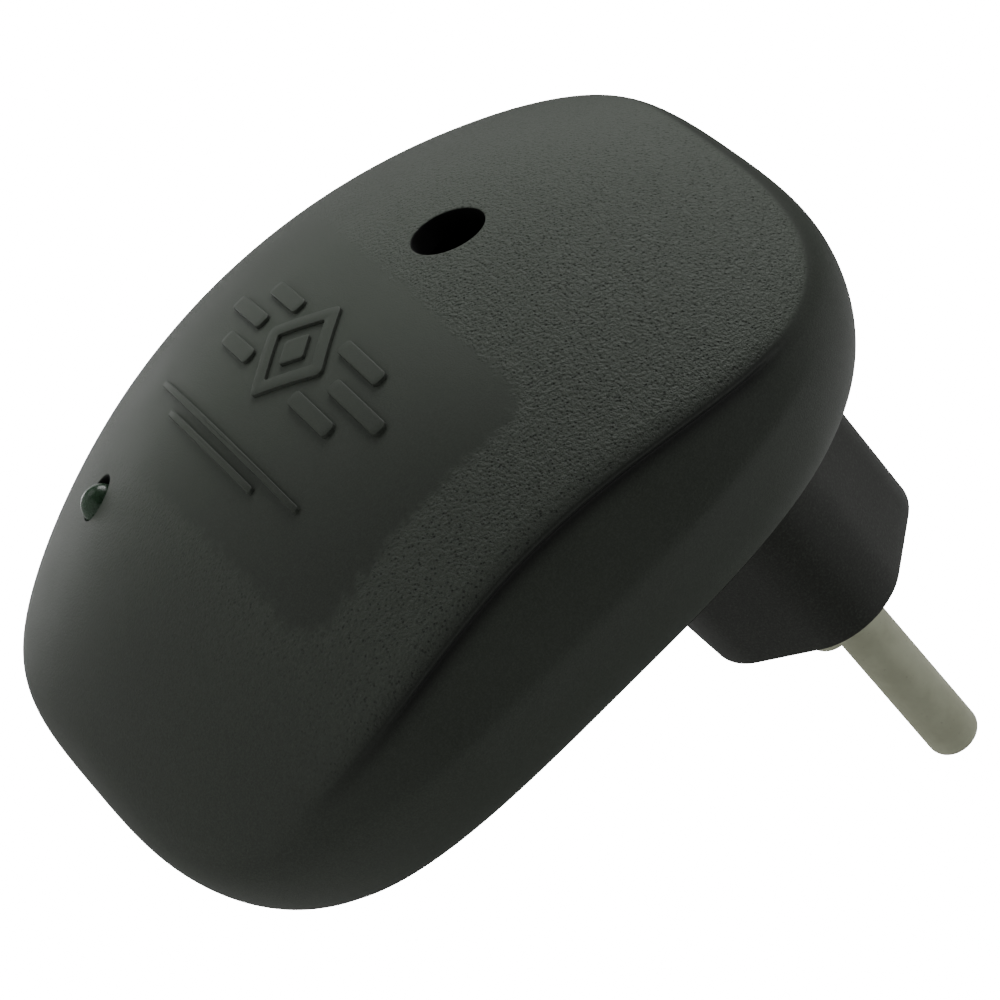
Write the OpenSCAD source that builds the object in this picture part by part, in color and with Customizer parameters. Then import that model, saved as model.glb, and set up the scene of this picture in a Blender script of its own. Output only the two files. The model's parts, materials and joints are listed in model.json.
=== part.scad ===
// Plug-in ultrasonic pest repeller: a domed housing on a hexagonal two-pin mains plug.
// +Z is up, the domed front faces -Y and the plug pins point along +Y. The origin is the
// middle of the plug's flat engagement face, between the two pins. Most modules are drawn
// in the housing's own frame, which starts at the middle of the domed front, and
// in_housing() puts them in place.

/* [Housing] */
// Width of the housing at its widest section
body_w = 56.4; // [55:0.2:60]
// Height of the housing at its widest section
body_h = 62.4; // [61:0.2:66]
// Depth from the middle of the domed front to the flat back
body_d = 22.5; // [22:0.1:24]
// Thickness of the domed front wall
wall = 2; // [1.6:0.1:2.2]
// Depth of the step groove along each side
groove_depth = 0.6; // [0.2:0.1:0.8]

/* [Front openings] */
// Diameter of the sound hole
sound_hole_d = 5.2; // [4:0.2:7]
// Height of the sound hole above the housing's middle
sound_hole_z = 12.4; // [11.4:0.2:13]
// Diameter of the hole for the indicator lamp
lamp_hole_d = 3.3; // [3.2:0.1:3.6]

/* [Plug] */
// Diameter of each plug pin
pin_d = 4; // [4:0.1:4.8]
// Length of each pin in front of the engagement face
pin_length = 18.25; // [17:0.25:21]
// Distance between the two pin axes
pin_spacing = 19; // [18.4:0.2:20]
// Width of the plug stem over its rounded points
stem_w = 32.9; // [32.2:0.1:35.4]
// Height of the plug stem
stem_h = 17.4; // [16.8:0.1:19]
// Length of the plug stem behind the housing's flat back
stem_length = 15.6; // [15:0.1:18]
// Height of the plug above the housing's middle
plug_z = 15.3; // [14.5:0.1:15.5]

/* [Circuit board] */
// Width of the circuit board
board_w = 41; // [40:0.5:42]
// Height of the circuit board
board_h = 47; // [46:0.5:48]
// Thickness of the circuit board
board_t = 1.6; // [1:0.2:1.6]

/* [Hidden] */

$fn = 48;
// A hull's own circles
hull_fn = 32;
// A cut runs this far past the face it opens
past = 0.5;

// Domed front: its two curvature radii and the height of its foremost point
dome_rx = 49.2;
dome_rz = 44.4;
dome_z = 0.4;
// Edge of the domed face, and how square its top and bottom corners are
face_half_w = body_w / 2 - 1.5;
face_half_h = body_h / 2 - 1.25;
face_square_top = 3.85;
face_square_bottom = 3.46;
// Widest section: its distance behind the front and how square its corners are
widest_y = 13.9;
rim_half_w = body_w / 2;
rim_half_h = body_h / 2;
rim_square_top = 3.07;
rim_square_bottom = 3.43;
// The housing narrows towards the top by this part of its width
top_taper = 0.025;
// Outward crown of the side between the step groove and the widest section
flank_crown = 0.26;
// Where the step groove is deepest, as part of the side's depth
groove_part = 0.08;
// The groove fades out at these angles above and below the middle
groove_end_top = 52;
groove_end_bottom = 43;
groove_fade = 10;
// Rounded rear edge: how far it comes in and how far back it runs
back_rx = 6.4;
back_ry = body_d - widest_y;
// Seam between the two covers
seam_y = body_d - 0.8;
seam_turn = asin((seam_y - widest_y) / back_ry);
rim_wall = 1.3;
seam_inset = back_rx * (1 - cos(seam_turn)) + rim_wall;
cavity_half_w = rim_half_w - seam_inset;
cavity_half_h = rim_half_h - seam_inset;

// Rear cover: plate inside the seam, and its clearance in the opening
plate_front_y = body_d - 2.4;
plate_gap = 0.15;
// Top hooks of the rear cover
hook_x = 6;
hook_w = 4;
hook_t = 1.4;
hook_y = plate_front_y - 3.4;
hook_catch = 0.9;
hook_catch_t = 1.2;
hook_gap = 0.3;
hook_pocket = 0.8;
// The opening's top edge curves down this much beside a hook
hook_drop = 0.5;

// Plug stem
stem_corner_r = 5.1;
stem_flat = 14.6;
stem_corners = concat([for (side = [-1, 1]) [side * (stem_w / 2 - stem_corner_r), 0]],
    [for (side = [-1, 1], rise = [-1, 1])
        [side * stem_flat / 2, rise * (stem_h / 2 - stem_corner_r)]]);
stem_draft = 0.018;
stem_wall = 2;
face_wall = 3.5;
pin_tip_r = 0.9;
// Each pin's full diameter starts in a shallow seat just below the engagement face
pin_seat = 0.12;
pin_seat_r = pin_d / 2 + 0.05;
pin_shank_r = pin_d / 2 - 0.25;
pin_collar_r = pin_d / 2 + 0.9;
pin_collar_t = 1.2;
pin_tail_r = 1;
pin_tail_length = 4.3;
press_gap = 0.03;
retainer_t = 1.7;
retainer_gap = 0.2;
retainer_boss_r = 2.6;
retainer_pilot_skin = 1.2;

// Screws
screw_pilot_r = 0.85;
screw_shank_r = 0.8;
screw_pass_gap = 0.3;
screw_head_r = 2;
screw_head_t = 1.3;
slot_w = 0.5;
slot_depth = 0.5;
cover_screw_x = 17.5;
cover_screw_z = -12;
cover_boss_r = 3;
boss_gap = 0.05;
cover_screw_length = 9;
cover_pilot_depth = 10;
head_recess = 1.4;
head_gap = 0.25;

// Circuit board
board_front_y = body_d - 6;
board_back_y = board_front_y + board_t;
board_corner_r = 10;
board_notch_r = 3.5;
board_boss_r = 2.5;
board_screw_places = [[-17.3, -3], [17.3, 8]];
board_screw_length = 5;

// Sound transducer behind the sound hole
collar_r = 12.2;
collar_bore_r = 10.7;
collar_back_y = 11.2;
ledge_bore_r = 8.5;
ledge_y = 8.2;
gasket_t = 1;
disc_r = 10.5;
disc_t = 0.3;
ceramic_r = 7;
ceramic_t = 0.25;
disc_y = ledge_y + gasket_t;
clamp_bore_r = 9;

// Indicator lamp
lamp_x = -12.5;
lamp_z = -17.2;
// The lamp sits a little low in its hole
lamp_sag = 0.1;
lamp_r = 1.5;
lamp_length = 5.6;
lamp_flange_r = 1.85;
lamp_flange_t = 0.9;
lamp_tip_y = 4.3;
lamp_lead_pitch = 1.27;

// Axial parts on the board, each [x, z, body length, body radius, lead spacing]
diode_places = [for (z = [6 : 4 : 18]) [-10, z, 5.2, 1.35, 10]];
zener_place = [-10, 2, 4.2, 1, 10];
resistor_places = [for (z = [3 : 3 : 12]) [8.6, z, 6.3, 1.15, 10]];
fuse_place = [8.6, 17, 9, 1.7, 12];
axial_places = concat(diode_places, [zener_place, fuse_place], resistor_places);
axial_gap = 0.4;
resistor_cap_w = 1.6;
resistor_cap_rise = 0.15;
lead_r = 0.3;

// Other parts on the board
film_box = [13, 5, 11];
film_place = [4, -7];
film_pitch = 10;
electrolytic_r = 3.15;
electrolytic_h = 11;
electrolytic_place = [-8, -8];
electrolytic_pitch = 2.5;
can_groove_depth = 0.25;
can_groove_w = 0.6;
can_groove_lift = 1.6;
vent_length = 4.4;
vent_w = 0.4;
chip_body = [9.8, 6.4, 3.3];
chip_place = [0, -17];
chip_lift = 0.6;
chip_row_pitch = 7.62;
chip_leg_pitch = 2.54;
chip_leg_t = 0.25;
chip_shoulder_w = 1.2;
chip_foot_w = 0.6;
chip_mark_r = 0.8;
chip_mark_depth = 0.4;
transistor_places = [[8.6, -13.4], [13.2, -17]];
transistor_r = 2.3;
transistor_flat = 1.3;
transistor_h = 4.6;
transistor_lift = 2.6;
transistor_pitch = 1.27;
inductor_place = [15.4, -2.6];
inductor_r = 4;
inductor_core_r = 2.1;
inductor_winding_r = 3.5;
inductor_top_t = 1.2;
inductor_foot_t = 1.6;
inductor_h = 8;
inductor_pitch = 5;
disc_cap_places = [[-12.4, -1.2], [6.4, -21.2], [-6.2, -21.4]];
disc_cap_r = 1.9;
disc_cap_t = 1.6;
disc_cap_lift = 1.6;
disc_cap_pitch = 2.5;

solder_r = 0.6;
solder_h = 0.8;

// Routes of the wires, as points in the housing's frame
mains_wire_r = 0.7;
signal_wire_r = 0.4;
tail_end_y = body_d + stem_length - face_wall - pin_collar_t - pin_tail_length;
live_route = [[pin_spacing / 2, tail_end_y, plug_z], [pin_spacing / 2, 27, 15.3],
    [9.5, 25, 15.5], [9.7, 23.2, 16.2], [10.1, 21.2, 17.2], [10.4, 19.6, 17.8],
    [10.5, board_back_y, 18]];
red_route = [[1.5, disc_y + disc_t + ceramic_t, 9], [1.5, 11.4, 8.6], [1.5, 12.6, 6.6],
    [1.5, 13.2, 3], [1.5, 14.2, 0], [1.5, 15.3, -1], [1.5, board_front_y, -1.2]];
black_route = [[-1.5, disc_y + disc_t, 4.4], [-1.5, 11.4, 4.1], [-1.5, 12.6, 2.8],
    [-1.5, 13.8, 0.6], [-1.5, 15.2, -0.9], [-1.5, board_front_y, -1.2]];

ring_steps = 60;
angles = [for (i = [0 : ring_steps - 1]) i * 360 / ring_steps];

// ---- Shape of the housing, as rings of points ----

function gain(a, square) = pow(pow(abs(cos(a)), square) + pow(abs(sin(a)), square), -1 / square);

// A point of a rounded oblong outline at angle a, a little narrower towards the top
function outline(a, half_w, half_h, square_top, square_bottom) =
    let (square = sin(a) >= 0 ? square_top : square_bottom,
         x = half_w * cos(a) * gain(a, square),
         z = half_h * sin(a) * gain(a, square))
    [x * (1 - top_taper * z / half_h), z];

function face_point(a, part) =
    part * outline(a, face_half_w, face_half_h, face_square_top, face_square_bottom);

function rim_point(a) =
    outline(a, rim_half_w, rim_half_h, rim_square_top, rim_square_bottom);

function dome_y(x, z) = x * x / (2 * dome_rx) + pow(z - dome_z, 2) / (2 * dome_rz);

function face_ring(part) = [for (a = angles)
    let (p = face_point(a, part))
    [p[0], dome_y(p[0], p[1]), p[1]]];

function ease(u) = let (v = min(1, max(0, u))) v * v * (3 - 2 * v);

// How strong the step groove is at angle a: full along the sides, none at top and bottom
function groove_strength(a) =
    let (tilt = asin(abs(sin(a))), end = sin(a) >= 0 ? groove_end_top : groove_end_bottom)
    ease((end - tilt) / groove_fade);

// Ring of the side, part of the way from the face's edge to the widest section. The side
// starts in the step groove and runs straight out of it.
function flank_ring(part) = [for (a = angles)
    let (edge = face_point(a, 1),
         swell = part * (1 + flank_crown * (1 - part)),
         inset = groove_depth * min(part / groove_part, (1 - part) / (1 - groove_part)),
         inward = edge / norm(edge) * inset * groove_strength(a),
         p = edge + (rim_point(a) - edge) * swell - inward)
    [p[0], dome_y(edge[0], edge[1]) * (1 - part) + widest_y * part, p[1]]];

// Ring of the rounded rear edge after it has turned by the given angle: the rim, moved
// straight inwards and back
function back_ring(turn) =
    let (inset = back_rx * (1 - cos(turn)),
         y = widest_y + back_ry * sin(turn))
    [for (a = angles)
        let (along = rim_point(a + 1) - rim_point(a - 1),
             p = rim_point(a) - inset * [along[1], -along[0]] / norm(along))
        [p[0], y, p[1]]];

// Ring of the straight cavity at depth y, grown outwards by a margin
function cavity_outline(margin) = [for (a = angles)
    outline(a, cavity_half_w + margin, cavity_half_h + margin, rim_square_top,
        rim_square_bottom)];

function cavity_ring(y, margin) = [for (p = cavity_outline(margin)) [p[0], y, p[1]]];

function cavity_face_ring(part, depth, margin) = [for (p = cavity_outline(margin))
    [p[0] * part, dome_y(p[0] * part, p[1] * part) + depth, p[1] * part]];

// Closed solid through a list of rings, with a tip at each end
module ring_solid(rings, first_tip, last_tip) {
    count = len(rings);
    last = count * ring_steps + 1;
    points = concat([first_tip], [for (ring = rings) each ring], [last_tip]);
    faces = concat(
        [for (i = [0 : ring_steps - 1]) [0, 1 + (i + 1) % ring_steps, 1 + i]],
        [for (r = [0 : count - 2], i = [0 : ring_steps - 1])
            let (here = 1 + r * ring_steps, next = here + ring_steps, j = (i + 1) % ring_steps)
            each [[here + i, here + j, next + j], [here + i, next + j, next + i]]],
        [for (i = [0 : ring_steps - 1])
            let (here = 1 + (count - 1) * ring_steps)
            [last, here + i, here + (i + 1) % ring_steps]]);
    polyhedron(points, faces);
}

// ---- Small shapes that repeat ----

module in_housing() {
    translate([0, -body_d - stem_length, -plug_z]) children();
}

// Round rod along Y at x and z
module rod(place, r, from_y, to_y) {
    translate([place[0], from_y, place[1]]) rotate([-90, 0, 0]) cylinder(r = r, h = to_y - from_y);
}

// Round ring along Y at x and z
module tube(place, r, bore_r, from_y, to_y) {
    difference() {
        rod(place, r, from_y, to_y);
        rod(place, bore_r, from_y - past, to_y + past);
    }
}

// Flat outline drawn in XZ, made solid along Y
module slab(from_y, to_y) {
    translate([0, to_y, 0]) rotate([90, 0, 0]) linear_extrude(to_y - from_y) children();
}

// Slotted round-head screw along Y: the shank points towards -Y from under_head_y
module screw(place, length, under_head_y) {
    difference() {
        union() {
            rod(place, screw_shank_r, under_head_y - length, under_head_y + screw_head_t / 2);
            rod(place, screw_head_r, under_head_y, under_head_y + screw_head_t);
        }
        translate([place[0] - screw_head_r - past, under_head_y + screw_head_t - slot_depth,
            place[1] - slot_w / 2])
            cube([2 * (screw_head_r + past), slot_depth + past, slot_w]);
    }
}

// Round wire swept along a route of points
module wire(route, r) {
    sides = 8;
    count = len(route);
    // Direction at each point, from its neighbours
    steps = [for (i = [0 : count - 1])
        let (d = route[min(i + 1, count - 1)] - route[max(i - 1, 0)]) d / norm(d)];
    rings = [for (i = [0 : count - 1])
        let (across = cross(steps[i], [1, 0, 0]) / norm(cross(steps[i], [1, 0, 0])),
             up = cross(across, steps[i]))
        [for (k = [0 : sides - 1])
            route[i] + r * (cos(k * 360 / sides) * across + sin(k * 360 / sides) * up)]];
    faces = concat(
        [[for (k = [0 : sides - 1]) sides - 1 - k]],
        [for (i = [0 : count - 2], k = [0 : sides - 1])
            let (here = i * sides, next = here + sides, j = (k + 1) % sides)
            each [[here + k, here + j, next + j], [here + k, next + j, next + k]]],
        [[for (k = [0 : sides - 1]) (count - 1) * sides + k]]);
    polyhedron([for (ring = rings) each ring], faces);
}

// Body of an axial part lying along X in front of the board
module axial_body(place) {
    translate([place[0] - place[2] / 2, board_front_y - place[3] - axial_gap, place[1]])
        rotate([0, 90, 0]) cylinder(r = place[3], h = place[2]);
}

// The two bent leads of an axial part, outside its body
module axial_leads(place) {
    lead_y = board_front_y - place[3] - axial_gap;
    for (side = [-1, 1]) {
        foot_x = place[0] + side * place[4] / 2;
        from_x = place[0] + side * place[2] / 2;
        translate([min(foot_x, from_x), lead_y, place[1]])
            rotate([0, 90, 0]) cylinder(r = lead_r, h = abs(foot_x - from_x), $fn = 16);
        rod([foot_x, place[1]], lead_r, lead_y, board_front_y, $fn = 16);
        translate([foot_x, lead_y, place[1]]) sphere(r = lead_r, $fn = 16);
    }
}

// Stem outline: a long hexagon with rounded points
module stem_outline(grow) {
    hull() for (place = stem_corners) translate(place)
        circle(r = stem_corner_r + grow, $fn = hull_fn);
}

// ---- Covers ----

// Everything inside the middle of the front cover's wall, which trims its inner ribs
module wall_core() {
    depth = wall / 2;
    margin = rim_wall / 2;
    ring_solid(
        concat([for (part = [0.25 : 0.25 : 0.75]) cavity_face_ring(part, depth, margin)],
            [cavity_face_ring(1, depth, margin), cavity_ring(plate_front_y, margin)]),
        [0, dome_y(0, 0) + depth, 0], [0, plate_front_y, 0]);
}

module front_shell() {
    face_parts = [0.15, 0.3, 0.45, 0.6, 0.75, 0.88, 0.97, 1];
    outer = concat([for (part = face_parts) face_ring(part)],
        [for (part = [groove_part, 0.3, 0.6, 1]) flank_ring(part)],
        [for (part = [0.33, 0.67, 1]) back_ring(seam_turn * part)]);
    inner = concat([cavity_ring(seam_y, 0)],
        [for (part = [1, 0.8, 0.6, 0.4, 0.2]) cavity_face_ring(part, wall, 0)]);
    ring_solid(concat(outer, inner), [0, dome_y(0, 0), 0], [0, dome_y(0, 0) + wall, 0]);
}

module front_cover() color([0.15, 0.16, 0.15]) in_housing() {
    difference() {
        union() {
            front_shell();
            intersection() {
                wall_core();
                union() {
                    tube([0, sound_hole_z], collar_r, ledge_bore_r, 0, collar_back_y);
                    for (side = [-1, 1])
                        rod([side * cover_screw_x, cover_screw_z], cover_boss_r, 0,
                            plate_front_y - boss_gap);
                    for (place = board_screw_places)
                        rod(place, board_boss_r, 0, board_front_y);
                }
            }
        }
        rod([0, sound_hole_z], sound_hole_d / 2, -past, body_d);
        rod([0, sound_hole_z], collar_bore_r, ledge_y, body_d);
        rod([lamp_x, lamp_z], lamp_hole_d / 2, 0, body_d);
        for (side = [-1, 1]) {
            rod([side * cover_screw_x, cover_screw_z], screw_pilot_r,
                plate_front_y - cover_pilot_depth, body_d);
            translate([side * hook_x - hook_w / 2 - hook_gap, hook_y - hook_gap,
                cavity_half_h - 2 * hook_t])
                cube([hook_w + 2 * hook_gap, hook_catch_t + 2 * hook_gap,
                    2 * hook_t + hook_pocket]);
        }
        for (place = board_screw_places)
            rod(place, screw_pilot_r, board_front_y - board_screw_length, body_d);
    }
}

// Back plate of the rear cover, with its rounded edge behind the seam
module back_plate() {
    ring_solid([back_ring(seam_turn), back_ring(seam_turn + (90 - seam_turn) / 2), back_ring(90)],
        [0, seam_y, 0], [0, body_d, 0]);
    slab(plate_front_y, seam_y + 0.2) polygon(cavity_outline(-plate_gap));
}

module stem() {
    root = 1;
    base_r = stem_corner_r + stem_draft * (stem_length + root);
    translate([0, body_d - root, plug_z]) rotate([-90, 0, 0]) hull()
        for (place = stem_corners) translate([place[0], place[1], 0])
            cylinder(r1 = base_r, r2 = stem_corner_r, h = stem_length + root, $fn = hull_fn);
}

module hook(side) {
    top_z = cavity_half_h - hook_drop;
    translate([side * hook_x - hook_w / 2, hook_y, top_z - hook_t]) {
        cube([hook_w, plate_front_y - hook_y + past, hook_t]);
        cube([hook_w, hook_catch_t, hook_t + hook_catch]);
    }
}

module rear_cover() color([0.12, 0.12, 0.12]) in_housing() {
    stem_end_y = body_d + stem_length;
    inside_y = stem_end_y - face_wall;
    difference() {
        union() {
            back_plate();
            stem();
            for (side = [-1, 1]) hook(side);
        }
        difference() {
            slab(plate_front_y - past, inside_y)
                translate([0, plug_z]) stem_outline(-stem_wall);
            rod([0, plug_z], retainer_boss_r, inside_y - pin_collar_t, stem_end_y);
        }
        rod([0, plug_z], screw_pilot_r, inside_y - pin_collar_t - past,
            stem_end_y - retainer_pilot_skin);
        for (side = [-1, 1]) {
            rod([side * pin_spacing / 2, plug_z], pin_shank_r + press_gap, inside_y - past,
                stem_end_y + past);
            rod([side * pin_spacing / 2, plug_z], pin_seat_r, stem_end_y - pin_seat,
                stem_end_y + past);
            rod([side * cover_screw_x, cover_screw_z], screw_shank_r + screw_pass_gap,
                plate_front_y - past, body_d + past);
            rod([side * cover_screw_x, cover_screw_z], screw_head_r + head_gap,
                body_d - head_recess, body_d + past);
        }
    }
}

module cover_screws() color("silver") in_housing() {
    for (side = [-1, 1])
        screw([side * cover_screw_x, cover_screw_z], cover_screw_length, body_d - head_recess);
}

// ---- Plug ----

module plug_pin(side) {
    place = [side * pin_spacing / 2, 0];
    // Round nose: a torus corner round a flat middle
    rod(place, pin_d / 2, -pin_seat, pin_length - pin_tip_r);
    translate([place[0], pin_length - pin_tip_r, 0]) rotate([-90, 0, 0]) rotate_extrude()
        intersection() {
            union() {
                square([pin_d / 2 - pin_tip_r, pin_tip_r]);
                translate([pin_d / 2 - pin_tip_r, 0]) circle(r = pin_tip_r);
            }
            square([pin_d, pin_d]);
        }
    rod(place, pin_shank_r, -face_wall, -pin_seat);
    rod(place, pin_collar_r, -face_wall - pin_collar_t, -face_wall);
    rod(place, pin_tail_r, -face_wall - pin_collar_t - pin_tail_length, -face_wall - pin_collar_t);
}

module plug_pin_left() color([0.62, 0.63, 0.55]) plug_pin(-1);

module plug_pin_right() color([0.62, 0.63, 0.55]) plug_pin(1);

module pin_retainer() color([0.75, 0.73, 0.66]) {
    back_y = -face_wall - pin_collar_t;
    difference() {
        slab(back_y - retainer_t, back_y) stem_outline(-stem_wall - retainer_gap);
        for (side = [-1, 1])
            rod([side * pin_spacing / 2, 0], pin_tail_r + retainer_gap, back_y - retainer_t - past,
                back_y + past);
        rod([0, 0], screw_shank_r + screw_pass_gap, back_y - retainer_t - past, back_y + past);
    }
}

module retainer_screw() color("silver") {
    // The head is on the housing's side, so the screw is turned to point along +Y
    seat_y = -face_wall - pin_collar_t - retainer_t;
    mirror([0, 1, 0]) screw([0, 0], retainer_t + 3, -seat_y);
}

// ---- Circuit board ----

module board_outline() {
    straight_w = board_w / 2 - board_corner_r;
    straight_h = board_h / 2 - board_corner_r;
    difference() {
        union() {
            square([board_w, 2 * straight_h], center = true);
            square([2 * straight_w, board_h], center = true);
            for (side = [-1, 1], rise = [-1, 1])
                translate([side * straight_w, rise * straight_h]) circle(r = board_corner_r);
        }
        for (side = [-1, 1]) {
            translate([side * cover_screw_x, cover_screw_z]) circle(r = board_notch_r);
            translate([side * (cover_screw_x + board_notch_r), cover_screw_z])
                square(2 * board_notch_r, center = true);
        }
    }
}

module circuit_board() color([0.72, 0.6, 0.35]) in_housing() {
    difference() {
        slab(board_front_y, board_back_y) board_outline();
        for (place = board_screw_places)
            rod(place, screw_shank_r + screw_pass_gap, board_front_y - past, board_back_y + past);
    }
}

module board_screws() color("silver") in_housing() {
    for (place = board_screw_places) screw(place, board_screw_length, board_back_y);
}

// ---- Sound transducer ----

module transducer_gasket() color([0.2, 0.2, 0.2]) in_housing() {
    tube([0, sound_hole_z], disc_r, ledge_bore_r, ledge_y, disc_y);
}

module transducer_disc() color([0.8, 0.65, 0.3]) in_housing() {
    rod([0, sound_hole_z], disc_r, disc_y, disc_y + disc_t);
}

module transducer_ceramic() color([0.85, 0.85, 0.8]) in_housing() {
    rod([0, sound_hole_z], ceramic_r, disc_y + disc_t, disc_y + disc_t + ceramic_t);
}

module transducer_clamp() color([0.2, 0.2, 0.2]) in_housing() {
    tube([0, sound_hole_z], disc_r + 0.1, clamp_bore_r, disc_y + disc_t, collar_back_y);
}

// ---- Indicator lamp ----

module led_lens() color([0.16, 0.3, 0.2]) in_housing() {
    place = [lamp_x, lamp_z - lamp_sag];
    back_y = lamp_tip_y + lamp_length;
    translate([place[0], lamp_tip_y + lamp_r, place[1]]) sphere(r = lamp_r);
    rod(place, lamp_r, lamp_tip_y + lamp_r, back_y);
    rod(place, lamp_flange_r, back_y - lamp_flange_t, back_y);
}

module led_leads() color("silver") in_housing() {
    for (side = [-1, 1])
        rod([lamp_x + side * lamp_lead_pitch, lamp_z - lamp_sag], lead_r,
            lamp_tip_y + lamp_length, board_front_y, $fn = 16);
}

// ---- Parts on the board ----

module dropper_capacitor() color([0.75, 0.6, 0.2]) in_housing() {
    translate([film_place[0] - film_box[0] / 2, board_front_y - film_box[2],
        film_place[1] - film_box[1] / 2])
        cube([film_box[0], film_box[2], film_box[1]]);
}

module filter_capacitor() color([0.1, 0.1, 0.25]) in_housing() {
    top_y = board_front_y - electrolytic_h;
    difference() {
        rod(electrolytic_place, electrolytic_r, top_y, board_front_y);
        // Rolled groove near the foot of the can
        tube(electrolytic_place, electrolytic_r + past, electrolytic_r - can_groove_depth,
            board_front_y - can_groove_lift - can_groove_w, board_front_y - can_groove_lift);
        // Pressure relief cross on the can's top
        for (turn = [0, 90])
            translate([electrolytic_place[0], top_y, electrolytic_place[1]])
                rotate([0, turn, 0]) cube([vent_length, vent_w, vent_w], center = true);
    }
}

module fusible_resistor() color([0.55, 0.6, 0.5]) in_housing() {
    axial_body(fuse_place);
}

module rectifier_diodes() color([0.12, 0.12, 0.12]) in_housing() {
    for (place = diode_places) axial_body(place);
}

module zener_diode() color([0.75, 0.35, 0.2]) in_housing() {
    axial_body(zener_place);
}

module resistors() color([0.8, 0.7, 0.5]) in_housing() {
    for (place = resistor_places) {
        axial_body(place);
        // Raised end caps
        for (side = [-1, 1])
            translate([place[0] + side * (place[2] - resistor_cap_w) / 2 - resistor_cap_w / 2,
                board_front_y - place[3] - axial_gap, place[1]])
                rotate([0, 90, 0])
                    cylinder(r = place[3] + resistor_cap_rise, h = resistor_cap_w);
    }
}

module ceramic_capacitors() color([0.75, 0.5, 0.25]) in_housing() {
    for (place = disc_cap_places)
        translate([place[0], board_front_y - disc_cap_r - disc_cap_lift,
            place[1] - disc_cap_t / 2])
            cylinder(r = disc_cap_r, h = disc_cap_t);
}

module driver_chip() color([0.12, 0.12, 0.13]) in_housing() {
    difference() {
        translate([chip_place[0] - chip_body[0] / 2, board_front_y - chip_lift - chip_body[2],
            chip_place[1] - chip_body[1] / 2])
            cube([chip_body[0], chip_body[2], chip_body[1]]);
        // Half-round mark at the first leg's end
        rod([chip_place[0] - chip_body[0] / 2, chip_place[1]], chip_mark_r, 0,
            board_front_y - chip_lift - chip_body[2] + chip_mark_depth);
    }
}

module driver_chip_legs() color("silver") in_housing() {
    shoulder_y = board_front_y - chip_lift - chip_body[2] / 2;
    reach = (chip_row_pitch - chip_body[1] + chip_leg_t) / 2;
    for (side = [-1, 1], i = [0 : 3]) {
        x = chip_place[0] + (i - 1.5) * chip_leg_pitch;
        near_z = chip_place[1] + side * (chip_body[1] / 2 + reach / 2);
        foot_z = chip_place[1] + side * chip_row_pitch / 2;
        translate([x, shoulder_y, near_z])
            cube([chip_shoulder_w, chip_leg_t, reach], center = true);
        translate([x - chip_foot_w / 2, shoulder_y, foot_z - chip_leg_t / 2])
            cube([chip_foot_w, board_front_y - shoulder_y, chip_leg_t]);
    }
}

module output_transistors() color([0.1, 0.1, 0.1]) in_housing() {
    top_y = board_front_y - transistor_lift - transistor_h;
    for (place = transistor_places)
        difference() {
            rod(place, transistor_r, top_y, top_y + transistor_h);
            // Flat marked side
            translate([place[0] - transistor_r, top_y - past, place[1] + transistor_flat])
                cube([2 * transistor_r, transistor_h + 2 * past, transistor_r]);
        }
}

module inductor_core() color([0.25, 0.25, 0.27]) in_housing() {
    top_y = board_front_y - inductor_h;
    rod(inductor_place, inductor_r, top_y, top_y + inductor_top_t);
    rod(inductor_place, inductor_core_r, top_y, board_front_y);
    rod(inductor_place, inductor_r, board_front_y - inductor_foot_t, board_front_y);
}

module inductor_winding() color([0.7, 0.35, 0.15]) in_housing() {
    tube(inductor_place, inductor_winding_r, inductor_core_r,
        board_front_y - inductor_h + inductor_top_t, board_front_y - inductor_foot_t);
}

// Feet of every part that is soldered through the board
upright_feet = concat(
    [for (side = [-1, 1], place = disc_cap_places) [place[0] + side * disc_cap_pitch / 2, place[1]]],
    [for (side = [-1, 0, 1], place = transistor_places)
        [place[0] + side * transistor_pitch, place[1]]]);
hidden_feet = concat(
    [for (side = [-1, 1]) [film_place[0] + side * film_pitch / 2, film_place[1]]],
    [for (side = [-1, 1])
        [electrolytic_place[0] + side * electrolytic_pitch / 2, electrolytic_place[1]]],
    [for (side = [-1, 1]) [inductor_place[0] + side * inductor_pitch / 2, inductor_place[1]]],
    [for (side = [-1, 1]) [lamp_x + side * lamp_lead_pitch, lamp_z - lamp_sag]],
    [for (side = [-1, 1], i = [0 : 3]) [chip_place[0] + (i - 1.5) * chip_leg_pitch,
        chip_place[1] + side * chip_row_pitch / 2]],
    [for (side = [-1, 1], place = axial_places) [place[0] + side * place[4] / 2, place[1]]]);

module component_leads() color("silver") in_housing() {
    for (place = axial_places) axial_leads(place);
    for (side = [-1, 1], place = disc_cap_places)
        rod([place[0] + side * disc_cap_pitch / 2, place[1]], lead_r,
            board_front_y - disc_cap_lift - past, board_front_y, $fn = 16);
    for (side = [-1, 0, 1], place = transistor_places)
        rod([place[0] + side * transistor_pitch, place[1]], lead_r,
            board_front_y - transistor_lift, board_front_y, $fn = 16);
}

module solder_joints() color([0.75, 0.76, 0.78]) in_housing() {
    for (place = concat(upright_feet, hidden_feet))
        translate([place[0], board_back_y, place[1]]) rotate([-90, 0, 0])
            cylinder(r1 = solder_r, r2 = lead_r, h = solder_h, $fn = 16);
}

// ---- Wires ----

module live_wire() color([0.5, 0.25, 0.12]) in_housing() wire(live_route, mains_wire_r);

module neutral_wire() color([0.15, 0.3, 0.65]) in_housing()
    mirror([1, 0, 0]) wire(live_route, mains_wire_r);

module transducer_wire_red() color([0.7, 0.1, 0.1]) in_housing() wire(red_route, signal_wire_r);

module transducer_wire_black() color([0.08, 0.08, 0.08]) in_housing()
    wire(black_route, signal_wire_r);

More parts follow.
